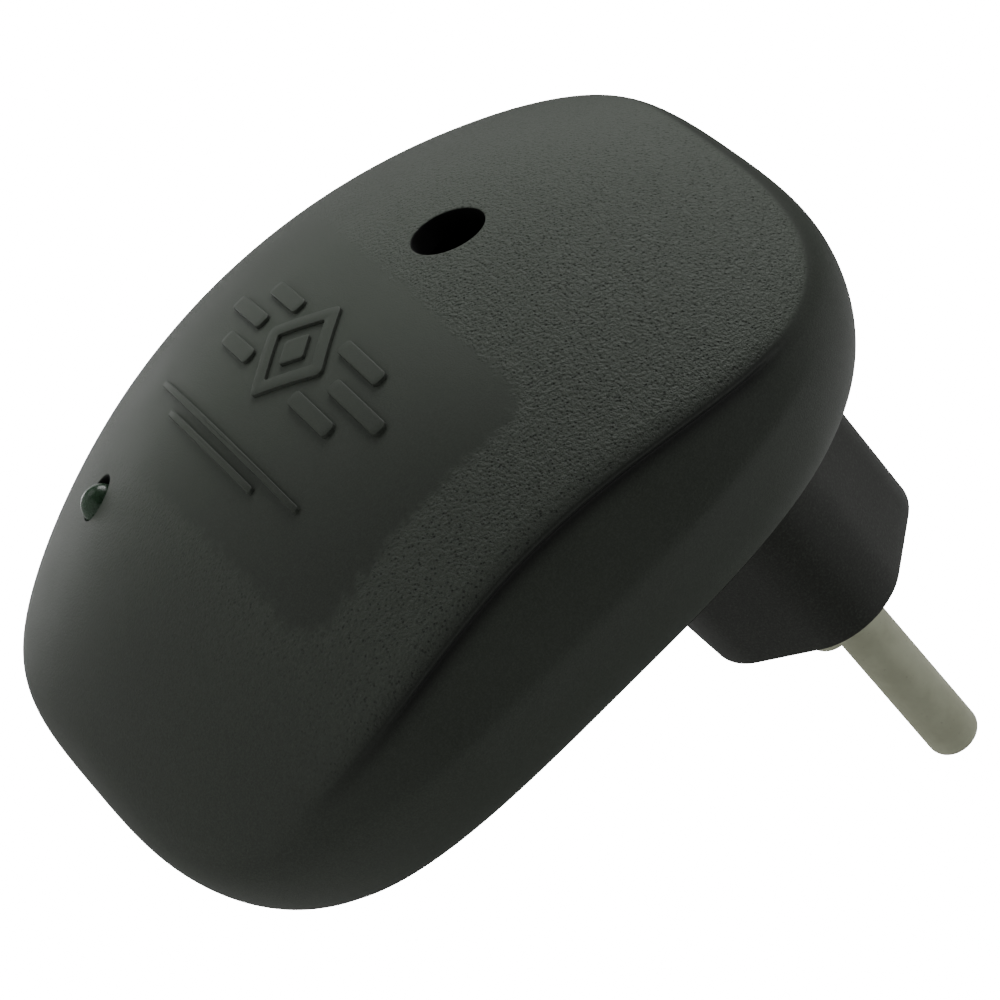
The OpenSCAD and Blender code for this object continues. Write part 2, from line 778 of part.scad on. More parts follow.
front_cover();
rear_cover();
plug_pin_left();
plug_pin_right();
pin_retainer();
retainer_screw();
cover_screws();
circuit_board();
board_screws();
transducer_disc();
transducer_ceramic();
transducer_gasket();
transducer_clamp();
led_lens();
led_leads();
dropper_capacitor();
filter_capacitor();
fusible_resistor();
rectifier_diodes();
zener_diode();
resistors();
ceramic_capacitors();
driver_chip();
driver_chip_legs();
output_transistors();
inductor_core();
inductor_winding();
component_leads();
solder_joints();
live_wire();
neutral_wire();
transducer_wire_red();
transducer_wire_black();
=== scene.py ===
"""Looks of a plug-in ultrasonic pest repeller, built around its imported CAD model."""
import json
import math

import bmesh
import bpy
import numpy as np
from mathutils import Matrix, Vector
from mathutils.kdtree import KDTree

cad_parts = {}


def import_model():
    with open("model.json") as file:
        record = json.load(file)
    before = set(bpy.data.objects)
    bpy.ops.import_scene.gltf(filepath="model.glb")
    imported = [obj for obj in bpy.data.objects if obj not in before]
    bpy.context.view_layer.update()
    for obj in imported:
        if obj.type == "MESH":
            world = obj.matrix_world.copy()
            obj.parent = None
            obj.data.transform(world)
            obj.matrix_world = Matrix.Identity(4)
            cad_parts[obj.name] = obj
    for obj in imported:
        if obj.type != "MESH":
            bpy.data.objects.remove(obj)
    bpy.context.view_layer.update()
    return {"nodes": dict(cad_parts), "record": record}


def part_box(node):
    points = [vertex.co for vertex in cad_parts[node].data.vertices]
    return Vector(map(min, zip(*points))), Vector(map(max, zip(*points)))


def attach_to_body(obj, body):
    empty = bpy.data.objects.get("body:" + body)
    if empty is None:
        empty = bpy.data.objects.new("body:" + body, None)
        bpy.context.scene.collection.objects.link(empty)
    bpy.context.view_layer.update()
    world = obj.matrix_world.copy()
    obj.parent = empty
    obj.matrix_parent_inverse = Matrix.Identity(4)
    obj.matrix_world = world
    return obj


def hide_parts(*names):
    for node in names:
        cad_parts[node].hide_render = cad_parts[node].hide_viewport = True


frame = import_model()
NODES = frame["nodes"]

# ---- Frame and sizes. Lengths are in millimetres in the housing's own frame: x across,
# y back from the middle of the domed front, z up from the housing's middle.

MM = 0.001


def corners(node):
    """Lowest and highest corner of a CAD node, in millimetres in the row frame."""
    return [np.array(corner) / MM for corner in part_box(node)]


FRONT_LOW, FRONT_HIGH = corners("front_cover")
HOUSING = np.array([0, FRONT_LOW[1], (FRONT_LOW[2] + FRONT_HIGH[2]) / 2])


def centre(node):
    """Middle of a CAD node's box in the housing's frame."""
    low, high = corners(node)
    return (low + high) / 2 - HOUSING


# Height of the plug's axis and depth of the stem's end, from the CAD's frame
PLUG_Z = -HOUSING[2]
STEM_END = -HOUSING[1]
# Housing, sound hole, lamp and pins
BODY_H = FRONT_HIGH[2] - FRONT_LOW[2]
BODY_W = 56.4
BODY_D = 22.5
WALL = 2.0
SOUND_X, _, SOUND_Z = centre("transducer_disc")
SOUND_R, SOUND_FILLET = 2.6, 0.16
LAMP_X, LAMP_Z = centre("led_leads")[0], centre("led_leads")[2] + 0.1
LAMP_HOLE_R, LAMP_FILLET = 1.65, 0.14
LAMP_R = 1.5
PIN_X = (corners("plug_pin_right")[0][0] + corners("plug_pin_right")[1][0]) / 2
PIN_R = 2.0
PIN_END = corners("plug_pin_right")[1][1]

# Dome: its radii across and upwards, and the height of its foremost point
DOME_RX, DOME_RZ, DOME_Z = 49.2, 44.4, 0.4
# Half sizes of the dome's edge and of the widest section, and how square their corners are
# above and below the middle
FACE_W, FACE_H = BODY_W / 2 - 1.5, BODY_H / 2 - 1.25
RIM_W, RIM_H = BODY_W / 2, BODY_H / 2
FACE_SQUARE = (3.85, 3.46)
RIM_SQUARE = (3.07, 3.43)
# How much narrower the top is, the depth of the widest section, and how much the side swells
TOP_TAPER = 0.025
WIDEST_Y = 13.9
FLANK_CROWN = 0.26
# Step groove: its depth, where down the side it is deepest, the angle above and below the
# middle at which it ends, and over how many degrees it fades there
GROOVE_DEPTH = 0.6
GROOVE_PART = 0.05
GROOVE_END = (44, 43)
GROOVE_FADE = (12, 25)
# Rounded rear edge, the seam on it, and the cavity that the back plate closes
BACK_RX, BACK_RY = 6.4, BODY_D - WIDEST_Y
SEAM_Y = BODY_D - 0.8
SEAM_TURN = math.asin((SEAM_Y - WIDEST_Y) / BACK_RY)
SEAM_INSET = BACK_RX * (1 - math.cos(SEAM_TURN)) + 1.3
CAVITY_W, CAVITY_H = RIM_W - SEAM_INSET, RIM_H - SEAM_INSET
# Rounding of the cavity's inner corner: parts of its width, and depths under the dome
CAVITY_CORNER = ((1, WALL + 1.2), (0.995, WALL + 0.4), (0.975, WALL))
PLATE_Y = BODY_D - 2.4
PLATE_GAP = 0.15
# Plug stem, and the screws and their posts
STEM_R, STEM_FLAT, STEM_W, STEM_H = 5.1, 14.6, 32.9, 17.4
STEM_DRAFT = 0.018
STEM_WALL, FACE_WALL = 2.0, 3.5
SCREW_X, SCREW_Z = 17.5, -12.0
BOARD_SCREWS = ((-17.3, -3.0), (17.3, 8.0))
BOARD_Y = BODY_D - 6
COVER_POST_R, BOARD_POST_R, PILOT_R = 3, 2.5, 0.85
PIN_GAP, BROKEN_EDGE = 0.05, 0.12

# Angles round the housing at which its cross-section is made
ANGLES = 480
TURNS = np.radians(np.arange(ANGLES) * 360 / ANGLES)


# ---- Mesh helpers ----

def new_piece(name, mesh):
    piece = bpy.data.objects.new(name, mesh)
    bpy.context.scene.collection.objects.link(piece)
    return piece


def mesh_from(name, points, faces):
    """Mesh from points in the housing's frame, in millimetres, with its faces turned outwards."""
    mesh = bpy.data.meshes.new(name)
    mesh.from_pydata(((np.asarray(points) + HOUSING) * MM).tolist(), [], faces)
    work = bmesh.new()
    work.from_mesh(mesh)
    bmesh.ops.recalc_face_normals(work, faces=work.faces)
    if work.calc_volume(signed=True) < 0:
        bmesh.ops.reverse_faces(work, faces=work.faces)
    work.to_mesh(mesh)
    work.free()
    return mesh


def ring_mesh(name, rings, looped=False):
    """Closed mesh through rings of points: looped joins the last ring to the first, and
    otherwise the two ends are closed with fans."""
    rings = [np.asarray(ring, float) for ring in rings]
    count, size = len(rings), len(rings[0])
    faces = []
    for r in range(count if looped else count - 1):
        here, after = r * size, (r + 1) % count * size
        faces += [(here + i, here + (i + 1) % size, after + (i + 1) % size, after + i)
                  for i in range(size)]
    points = np.concatenate(rings)
    if not looped:
        first, last = len(points), len(points) + 1
        points = np.concatenate([points, [rings[0].mean(0)], [rings[-1].mean(0)]])
        end = (count - 1) * size
        faces += [(first, (i + 1) % size, i) for i in range(size)]
        faces += [(last, end + i, end + (i + 1) % size) for i in range(size)]
    return mesh_from(name, points, faces)


def baked(piece):
    """The piece with its modifiers made permanent."""
    bpy.context.view_layer.update()
    graph = bpy.context.evaluated_depsgraph_get()
    mesh = bpy.data.meshes.new_from_object(piece.evaluated_get(graph))
    old = piece.data
    piece.modifiers.clear()
    piece.data = mesh
    bpy.data.meshes.remove(old)
    return piece


def combine(piece, tools, operation):
    """Adds or cuts away each tool mesh in turn."""
    for tool in tools:
        other = new_piece("tool", tool)
        modifier = piece.modifiers.new("combine", "BOOLEAN")
        modifier.operation = operation
        modifier.solver = "MANIFOLD"
        modifier.object = other
        baked(piece)
        bpy.data.objects.remove(other)
        bpy.data.meshes.remove(tool)
    return piece


# Corners closer than this are joined after the booleans
WELD = 0.0002


def welded(piece):
    """The piece without what booleans leave behind: near corners are joined, and flaps, which
    are two faces back to back on the same corners, are deleted."""
    work = bmesh.new()
    work.from_mesh(piece.data)
    bmesh.ops.remove_doubles(work, verts=work.verts, dist=WELD * MM)
    bmesh.ops.triangulate(work, faces=[face for face in work.faces if len(face.verts) > 4])
    sides = {}
    for face in work.faces:
        sides.setdefault(frozenset(face.verts), []).append(face)
    flaps = [face for same in sides.values() if len(same) > 1 for face in same]
    bmesh.ops.delete(work, geom=flaps, context="FACES")
    work.to_mesh(piece.data)
    work.free()
    return piece


def smooth(piece, angle=34):
    """Smooth shading with sharp edges kept where faces meet at more than the angle."""
    piece.data.shade_smooth()
    piece.data.set_sharp_from_angle(angle=math.radians(angle))
    return piece


def circle(x, z, radius, y, count=96):
    """Ring of points round (x, z) at depth y, which may be a function of x and z."""
    turn = np.radians(np.arange(count) * 360 / count)
    px, pz = x + radius * np.cos(turn), z + radius * np.sin(turn)
    depth = y(px, pz) if callable(y) else np.full(count, float(y))
    return np.stack([px, depth, pz], 1)


def lathe(name, x, z, profile, count=96):
    """Round solid about an axis along Y; the profile lists (radius, y) from end to end."""
    return ring_mesh(name, [circle(x, z, radius, y, count) for radius, y in profile])


def arc(middle_r, middle_y, radius, steps):
    """Profile points on a quarter turn, for a rounded end of a lathe."""
    turns = np.radians(np.linspace(0, 90, steps + 1))
    return [(middle_r + radius * math.cos(t), middle_y + radius * math.sin(t)) for t in turns]


def attach(piece, slot, *nodes):
    """Puts a piece on the object's one body, in place of CAD nodes; the slot is not used."""
    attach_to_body(piece, "root")
    if nodes:
        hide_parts(*nodes)
    return piece


# ---- Shape of the housing ----

def outline(half_w, half_h, square):
    """Rounded oblong through all angles, a little narrower towards the top."""
    c, s = np.cos(TURNS), np.sin(TURNS)
    power = np.where(s >= 0, square[0], square[1])
    gain = (np.abs(c) ** power + np.abs(s) ** power) ** (-1 / power)
    x, z = half_w * c * gain, half_h * s * gain
    return np.stack([x * (1 - TOP_TAPER * z / half_h), z], 1)


def dome_y(x, z):
    return x * x / (2 * DOME_RX) + (z - DOME_Z) ** 2 / (2 * DOME_RZ)


def under(depth):
    """The surface this far behind the dome's, as a function of x and z."""
    return lambda x, z: dome_y(x, z) + depth


def with_depth(flat, y):
    """Points in XZ with a depth, which may be a function of x and z."""
    x, z = flat[:, 0], flat[:, 1]
    return np.stack([x, y(x, z) if callable(y) else np.full(len(flat), float(y)), z], 1)


EDGE = outline(FACE_W, FACE_H, FACE_SQUARE)
RIM = outline(RIM_W, RIM_H, RIM_SQUARE)
EDGE_Y = dome_y(EDGE[:, 0], EDGE[:, 1])
EDGE_RAY = EDGE / np.linalg.norm(EDGE, axis=1)[:, None]
# Beside the groove the dome's edge stands back by EDGE_SHIFT, and rolls over into the groove
# by this depth, over this width
EDGE_SHIFT = 0.35
ROLL_DROP, ROLL_WIDTH = 0.4, 1.6


def ease(u):
    v = np.clip(u, 0, 1)
    return v * v * (3 - 2 * v)


def groove_strength():
    """How strong the step groove is at each angle: full along the sides, none elsewhere."""
    tilt = np.degrees(np.arcsin(np.abs(np.sin(TURNS))))
    end, fade = (np.where(np.sin(TURNS) >= 0, *pair) for pair in (GROOVE_END, GROOVE_FADE))
    return ease((end - tilt) / fade)


GROOVE = groove_strength()


def flank_ring(part):
    """Ring of the side, part of the way from the face's edge to the widest section. The side
    starts in the step groove, below the rolled edge of the dome, and runs straight out."""
    swell = part * (1 + FLANK_CROWN * (1 - part))
    inset = GROOVE_DEPTH * min(part / GROOVE_PART, (1 - part) / (1 - GROOVE_PART))
    inset += EDGE_SHIFT * (1 - part)
    flat = EDGE + (RIM - EDGE) * swell - EDGE_RAY * (inset * GROOVE)[:, None]
    start_y = EDGE_Y + ROLL_DROP * GROOVE
    return np.stack([flat[:, 0], start_y * (1 - part) + WIDEST_Y * part, flat[:, 1]], 1)


def inwards(ring, inset):
    """Ring moved straight inwards, across its own outline."""
    along = np.roll(ring, -1, 0) - np.roll(ring, 1, 0)
    across = np.stack([along[:, -1], -along[:, 0]], 1)
    across /= np.linalg.norm(across, axis=1)[:, None]
    moved = ring.copy()
    moved[:, 0] -= inset * across[:, 0]
    moved[:, -1] -= inset * across[:, 1]
    return moved


def back_ring(turn):
    """Ring of the rounded rear edge after it has turned by an angle in radians."""
    flat = inwards(RIM, BACK_RX * (1 - math.cos(turn)))
    return with_depth(flat, WIDEST_Y + BACK_RY * math.sin(turn))


# The cross-section from the dome over the groove to the seam is sampled this finely, and
# softened by these widths where the groove is full and where there is none
STEP = 0.05
SHARP_BLUR, SOFT_BLUR = 0.16, 1.0
# Width of the dome's band that belongs to it, what more is made for the softening to run out
# in, the number of rings in both, and the stretch round the dome's edge with the most rings
EDGE_BAND = 4.0
BAND_SPARE = 4.0
DOME_RINGS = 160
FINE_FROM, FINE_TO = -2, 3.2


def raw_sections():
    """Cross-sections, one per angle, before softening: (samples, angles, 3)."""
    rings = []
    for inset in np.linspace(EDGE_BAND + BAND_SPARE, 0, DOME_RINGS):
        ring = with_depth(EDGE - EDGE_RAY * (inset + EDGE_SHIFT * GROOVE)[:, None], dome_y)
        ring[:, 1] += ROLL_DROP * GROOVE * max(0, 1 - inset / ROLL_WIDTH) ** 2
        rings.append(ring)
    rings += [flank_ring(part) for part in np.linspace(0, GROOVE_PART, 6)[1:]]
    rings += [flank_ring(part) for part in np.linspace(GROOVE_PART, 1, 48)[1:]]
    rings += [back_ring(turn) for turn in np.linspace(0, math.pi / 2, 60)[1:]]
    rings += [back_ring(math.pi / 2) * [1 - part, 1, 1 - part] for part in (0.04, 0.08, 0.12)]
    return np.stack(rings)


def softened(sections, blur):
    """Each cross-section smoothed along its length by a Gaussian of the given width."""
    reach = int(math.ceil(3 * blur / STEP))
    weights = np.exp(-0.5 * (np.arange(-reach, reach + 1) * STEP / blur) ** 2)
    weights /= weights.sum()
    padded = np.pad(sections, ((reach, reach), (0, 0), (0, 0)), mode="edge")
    return sum(weight * padded[i:i + len(sections)] for i, weight in enumerate(weights))


def edge_rings():
    """Rings from inside the dome's edge, over the groove and side, to the seam."""
    raw = raw_sections()
    length = np.concatenate([np.zeros((1, ANGLES)),
                             np.cumsum(np.linalg.norm(np.diff(raw, axis=0), axis=2), 0)])
    edge = DOME_RINGS - 1
    edge_at = length[edge]
    seam_at = np.array([np.interp(SEAM_Y, raw[edge:, i, 1], length[edge:, i])
                        for i in range(ANGLES)]) - edge_at
    span = np.arange(-EDGE_BAND - BAND_SPARE, seam_at.max() + BAND_SPARE, STEP)
    even = np.stack([[np.interp(span, length[:, i] - edge_at[i], raw[:, i, k])
                      for k in range(3)] for i in range(ANGLES)]).transpose(2, 0, 1)
    strength = GROOVE[None, :, None]
    mixed = softened(even, SHARP_BLUR) * strength + softened(even, SOFT_BLUR) * (1 - strength)
    # Fixed places on the dome, then parts of the way to the seam, densest at the groove
    stations = [np.full(ANGLES, s) for s in np.linspace(-EDGE_BAND, FINE_FROM, 8)[:-1]]
    stations += [np.full(ANGLES, s) for s in np.linspace(FINE_FROM, FINE_TO, 60)[:-1]]
    stations += [FINE_TO + (seam_at - FINE_TO) * part for part in np.linspace(0, 1, 34)]
    rings = [np.stack([[np.interp(s[i], span, mixed[:, i, k]) for k in range(3)]
                       for i in range(ANGLES)]) for s in stations]
    rings[-1][:, 1] = SEAM_Y
    return rings


def hole_ring(radius, y):
    """Ring round the sound hole, lined up with the rays to the face's edge."""
    ray = EDGE - np.array([SOUND_X, SOUND_Z])
    ray /= np.linalg.norm(ray, axis=1)[:, None]
    return with_depth(np.array([SOUND_X, SOUND_Z]) + ray * radius, y)


def between(ring, radius, part, depth):
    """Ring part of the way from the sound hole to a ring, at a depth under the dome."""
    start = hole_ring(radius, 0)[:, [0, 2]]
    flat = start + (ring[:, [0, 2]] - start) * part
    return with_depth(flat, under(depth))


def rounded_mouth(radius, fillet):
    """Radii and depths of a hole's rounded mouth, from its wall out to the surface."""
    turns = np.radians(np.linspace(0, 90, 6))
    return [(radius + fillet * (1 - math.cos(t)), fillet * (1 - math.sin(t))) for t in turns]


def front_shell():
    """The housing's skin: out of the sound hole, over dome, side and rear edge, and back inside."""
    band = edge_rings()
    mouth = [hole_ring(r, under(d)) for r, d in rounded_mouth(SOUND_R, SOUND_FILLET)]
    near = [between(band[0], SOUND_R + SOUND_FILLET, part, 0)
            for part in np.linspace(0, 1, 44)[1:-1]]
    seam_edge = [inwards(band[-1], 0.06)]
    cavity = outline(CAVITY_W, CAVITY_H, RIM_SQUARE)
    seat = [with_depth(cavity, SEAM_Y), with_depth(cavity, SEAM_Y - 1)]
    seat += [with_depth(cavity * part, under(depth)) for part, depth in CAVITY_CORNER]
    inside = [between(seat[-1], SOUND_R, part, WALL) for part in np.linspace(1, 0, 20)[1:-1]]
    wall = [hole_ring(SOUND_R, under(d)) for d in (WALL, WALL / 2)]
    return ring_mesh("front_shell", mouth + near + band + seam_edge + seat + inside + wall,
                     looped=True)


def post(x, z, radius, back_y, pilot_depth):
    """Screw post that grows out of the dome's inside, with a blind pilot hole."""
    root, edge, lead_in = under(WALL / 2), 0.2, 0.15
    return ring_mesh("post", [
        circle(x, z, radius * 0.5, root), circle(x, z, radius, root),
        circle(x, z, radius, back_y - edge), circle(x, z, radius - edge, back_y),
        circle(x, z, PILOT_R + lead_in, back_y), circle(x, z, PILOT_R, back_y - lead_in),
        circle(x, z, PILOT_R, back_y - pilot_depth)])


def collar():
    """Stepped ring behind the sound hole that the sound disc is clamped in."""
    root, seat_y, back_y, edge = under(WALL / 2), 8.2, 11.2, 0.2
    seat_r, bore_r, outer_r = 8.5, 10.7, 12.2
    rings = [(seat_r, root), (outer_r, root), (outer_r, back_y - edge), (outer_r - edge, back_y),
             (bore_r + edge, back_y), (bore_r, back_y - edge), (bore_r, seat_y),
             (seat_r, seat_y)]
    return ring_mesh("collar", [circle(SOUND_X, SOUND_Z, r, y, 128) for r, y in rings],
                     looped=True)


def lamp_cutter():
    """Cuts the lamp's hole with a slightly rounded mouth that follows the dome."""
    mouth = rounded_mouth(LAMP_HOLE_R, LAMP_FILLET)
    rings = [circle(LAMP_X, LAMP_Z, LAMP_HOLE_R, 12)]
    rings += [circle(LAMP_X, LAMP_Z, r, under(d)) for r, d in mouth[:-1]]
    rings += [circle(LAMP_X, LAMP_Z, LAMP_HOLE_R + 0.15, under(-1))]
    return ring_mesh("lamp_cutter", rings)


# Width of the black painted shade along the bottom of the groove
GROOVE_SHADE = 0.8


def mark_groove(mesh):
    """Stores how near the bottom of the step groove each point is, for the painted shade there."""
    valley = flank_ring(GROOVE_PART)
    tree = KDTree(ANGLES)
    for i, point in enumerate(valley):
        tree.insert(point, i)
    tree.balance()
    nearness = []
    for vertex in mesh.vertices:
        _, i, distance = tree.find(vertex.co / MM - Vector(HOUSING))
        nearness.append(GROOVE[i] * math.exp(-(distance / GROOVE_SHADE) ** 2))
    layer = mesh.attributes.new("groove", "FLOAT", "POINT")
    layer.data.foreach_set("value", nearness)


def front_cover():
    piece = new_piece("front_cover_shell", front_shell())
    posts = [post(side * SCREW_X, SCREW_Z, COVER_POST_R, PLATE_Y - 0.05, 10) for side in (-1, 1)]
    posts += [post(x, z, BOARD_POST_R, BOARD_Y, 5) for x, z in BOARD_SCREWS]
    combine(piece, [collar()] + posts, "UNION")
    combine(piece, [lamp_cutter()], "DIFFERENCE")
    smooth(welded(piece))
    mark_groove(piece.data)
    return attach(piece, "cover_plastic", "front_cover")


# ---- Rear cover with its plug stem ----

def plate():
    """Back plate: its lip in the cavity, the step at the seam, and the rest of the rounded
    rear edge closing to the middle."""
    lip = outline(CAVITY_W - PLATE_GAP, CAVITY_H - PLATE_GAP, RIM_SQUARE)
    seam = back_ring(SEAM_TURN)
    rings = [with_depth(lip * part, PLATE_Y) for part in (0.3, 0.6, 0.9)]
    rings += [with_depth(lip * 0.994, PLATE_Y), with_depth(lip, PLATE_Y + 0.15)]
    rings += [with_depth(lip, SEAM_Y)]
    rings += [inwards(seam, inset) + [0, shift, 0]
              for inset, shift in ((0.5, 0), (0.06, 0), (0.02, 0.02), (0.0, 0.06))]
    rings += [back_ring(turn) for turn in np.linspace(SEAM_TURN + 0.035, math.pi / 2, 16)]
    rings += [rings[-1] * [part, 1, part] for part in (0.9, 0.75, 0.5, 0.25)]
    return ring_mesh("plate", rings)


# Points on each rounded corner of the stem, and on each of its flats
STEM_STEPS = 20


def stem_ring(radius, y):
    """Long hexagon with rounded points about the plug's axis, grown to a corner radius."""
    places = np.array([[STEM_W / 2 - STEM_R, 0], [STEM_FLAT / 2, STEM_H / 2 - STEM_R],
                       [-STEM_FLAT / 2, STEM_H / 2 - STEM_R], [STEM_R - STEM_W / 2, 0],
                       [-STEM_FLAT / 2, STEM_R - STEM_H / 2],
                       [STEM_FLAT / 2, STEM_R - STEM_H / 2]])
    sides = np.roll(places, -1, 0) - places
    turns = np.arctan2(-sides[:, 0], sides[:, 1]) + math.pi
    points = []
    for i in range(6):
        start, stop = turns[i - 1] + math.pi, turns[i] + math.pi
        stop += 2 * math.pi * round((start + math.pi / 3 - stop) / (2 * math.pi))
        for t in np.linspace(start, stop, STEM_STEPS):
            points.append(places[i] + radius * np.array([math.cos(t), math.sin(t)]))
        here = points[-1]
        after = places[(i + 1) % 6] + radius * np.array([math.cos(stop), math.sin(stop)])
        points += [here + (after - here) * part
                   for part in np.linspace(0, 1, STEM_STEPS + 2)[1:-1]]
    flat = np.array(points) + [0, PLUG_Z]
    return with_depth(flat, y)


def stem_solid():
    """Drafted stem with a small flare at its root and a rounded end."""
    def drafted(y):
        return STEM_R + STEM_DRAFT * (STEM_END - y)
    flare, end_r = 0.5, 0.28
    rings = [stem_ring(drafted(BODY_D) - 1, BODY_D - 1.2),
             stem_ring(drafted(BODY_D) + flare, BODY_D - 1.2)]
    rings += [stem_ring(drafted(BODY_D + flare) + flare * (1 - math.cos(t)),
                        BODY_D + flare * (1 - math.sin(t)))
              for t in np.radians(np.linspace(90, 0, 8))]
    rings += [stem_ring(drafted(y), y)
              for y in np.linspace(BODY_D + 1, STEM_END - end_r, 12)]
    rings += [stem_ring(drafted(STEM_END) - end_r * (1 - math.cos(t)),
                        STEM_END - end_r * (1 - math.sin(t)))
              for t in np.radians(np.linspace(8, 90, 8))]
    return ring_mesh("stem", rings)


def stem_hollow():
    inside = STEM_END - FACE_WALL
    radius = STEM_R - STEM_WALL
    return ring_mesh("hollow", [stem_ring(radius, PLATE_Y - 1), stem_ring(radius, inside - 0.4),
                                stem_ring(radius - 0.4, inside)])


def hook(side):
    """Snap hook on the plate's top edge, with a sloped lead-in on its catch."""
    top, tip_y, root_y = CAVITY_H - 0.5, PLATE_Y - 3.4, PLATE_Y + 0.5
    thick, catch, catch_y, middle_x, half_w = 1.4, 0.9, tip_y + 1.2, side * 6, 2
    shape = np.array([(tip_y, top - thick), (tip_y, top + 0.35), (tip_y + 0.35, top + catch),
                      (catch_y, top + catch), (catch_y, top), (root_y, top),
                      (root_y, top - thick)])
    rings = [np.stack([np.full(len(shape), middle_x + dx), shape[:, 0], shape[:, 1]], 1)
             for dx in (-half_w, half_w)]
    return ring_mesh("hook", rings)


def pin_bore(side):
    """Hole through the stem's face: a neck for the pin's shank, wider at the very end."""
    neck_r, mouth_r = 1.78, PIN_R + PIN_GAP
    return lathe("bore", side * PIN_X, PLUG_Z, [
        (neck_r, STEM_END - FACE_WALL - 1), (neck_r, STEM_END - BROKEN_EDGE),
        (mouth_r, STEM_END - BROKEN_EDGE), (mouth_r + BROKEN_EDGE, STEM_END),
        (mouth_r + BROKEN_EDGE, STEM_END + 1)])


def screw_well(side):
    """Hole and head recess of a cover screw."""
    hole_r, well_r, floor_y = 1.1, 2.25, BODY_D - 1.4
    return lathe("recess", side * SCREW_X, SCREW_Z, [
        (hole_r, PLATE_Y - 1), (hole_r, floor_y), (well_r, floor_y),
        (well_r, BODY_D - BROKEN_EDGE), (well_r + BROKEN_EDGE, BODY_D),
        (well_r + BROKEN_EDGE, BODY_D + 1)])


def rear_cover():
    """Plate and hollow stem, with the retainer screw's boss and the holes of pins and screws."""
    piece = new_piece("rear_cover_shell", plate())
    inside, boss_r = STEM_END - FACE_WALL, 2.6
    combine(piece, [stem_solid(), hook(-1), hook(1)], "UNION")
    combine(piece, [stem_hollow()], "DIFFERENCE")
    boss = lathe("boss", 0, PLUG_Z, [(boss_r, inside - 1.2), (boss_r, inside + 0.5)])
    combine(piece, [boss], "UNION")
    cuts = [lathe("pilot", 0, PLUG_Z, [(PILOT_R, inside - 2), (PILOT_R, STEM_END - 1.2)])]
    for side in (-1, 1):
        cuts += [pin_bore(side), screw_well(side)]
    combine(piece, cuts, "DIFFERENCE")
    smooth(welded(piece))
    return attach(piece, "stem_plastic", "rear_cover")


# ---- Plug pins ----

def plug_pin(side, name, node):
    """Pin with a rounded tip, a thinner shank in the stem's face, a collar and a wire tail."""
    collar_y, tip, end = STEM_END - FACE_WALL, 1.25, STEM_END + PIN_END
    start_y, tail, edge = collar_y - 1.2, 4.3, 0.15
    tail_r, collar_r, shank_r = 1.0, 2.9, 1.75
    profile = [(tail_r - edge, start_y - tail), (tail_r, start_y - tail + edge),
               (tail_r, start_y), (collar_r - edge, start_y), (collar_r, start_y + edge),
               (collar_r, collar_y - edge), (collar_r - edge, collar_y), (shank_r, collar_y),
               (shank_r, STEM_END - BROKEN_EDGE), (PIN_R - 0.1, STEM_END - BROKEN_EDGE),
               (PIN_R, STEM_END - 0.02), (PIN_R, STEM_END + 1)]
    profile += [(PIN_R, y) for y in np.linspace(STEM_END + 2, end - tip - 0.3, 12)]
    profile += arc(PIN_R - tip, end - tip, tip, 14)
    profile += [(PIN_R - tip - 0.4, end), (0.3, end)]
    piece = new_piece(name, lathe(name, side * PIN_X, PLUG_Z, profile, 128))
    smooth(piece, 40)
    return attach(piece, "pin_nickel", node)


# ---- Indicator lamp ----

def lamp():
    """Domed lens with a flange behind the housing's wall."""
    low, high = corners("led_lens")
    tip_y, back_y = low[1] - HOUSING[1], high[1] - HOUSING[1]
    x, _, z = centre("led_lens")
    profile = [(LAMP_R * math.sin(t), tip_y + LAMP_R * (1 - math.cos(t)))
               for t in np.radians(np.linspace(4, 90, 22))]
    flange_r = 1.85
    profile += [(LAMP_R, back_y - 1.1), (flange_r, back_y - 0.9), (flange_r, back_y - 0.1),
                (flange_r - 0.1, back_y), (0.6, back_y)]
    piece = new_piece("lamp_lens", lathe("lamp_lens", x, z, profile))
    smooth(piece, 40)
    return attach(piece, "lens_green", "led_lens")


# ---- Raised emblem: a generic diamond between short bars, over two plain lines ----

RAISE = 0.28
EMBLEM_X, EMBLEM_Z = 0.5, -0.7
EDGE_R = 0.06
# Half size and corner radius of the diamond's outline, its opening, and its centre
DIAMOND, OPENING, DIAMOND_CENTRE = (4.4, 0.5), (2.9, 0.2), (1.5, 0.25)
# Bars on each side: mark in the name, height over the middle, start and length
BARS = (("a", 2.4, 3.7, 5.4), ("b", 0, 6.0, 6.4), ("c", -2.4, 3.7, 5.4))
BAR_H, BAR_R = 1.2, 0.4
# Lines under it: word in the name, height and length
LINES = (("upper", -8.3, 24.4), ("lower", -9.5, 15.0))
LINE_X, LINE_H, LINE_R = -0.8, 0.5, 0.2


def rounded(corners, radius, per_side=40):
    """Closed outline in XZ through the corners of a convex shape, each corner rounded."""
    corners = [np.array(corner, float) for corner in corners]
    points = []
    for i, corner in enumerate(corners):
        ways = [corners[i - 1] - corner, corners[(i + 1) % len(corners)] - corner]
        ways = [way / np.linalg.norm(way) for way in ways]
        half = math.acos(float(ways[0] @ ways[1])) / 2
        split = ways[0] + ways[1]
        middle = corner + split / np.linalg.norm(split) * radius / math.sin(half)
        ends = [corner + way * radius / math.tan(half) - middle for way in ways]
        turn = math.atan2(ends[0][1], ends[0][0])
        sweep = math.pi - 2 * half
        points.append([middle + radius * np.array([math.cos(t), math.sin(t)])
                       for t in np.linspace(turn, turn + sweep, 9)])
    outline_points = []
    for i, curve in enumerate(points):
        following = points[(i + 1) % len(points)][0]
        outline_points += curve
        outline_points += [curve[-1] + (following - curve[-1]) * part
                           for part in np.linspace(0, 1, per_side + 2)[1:-1]]
    return np.array(outline_points)


def raised(path, inset, height):
    """Ring at a height over the dome, inside an outline by an inset."""
    return with_depth(inwards(path, inset), under(-height))


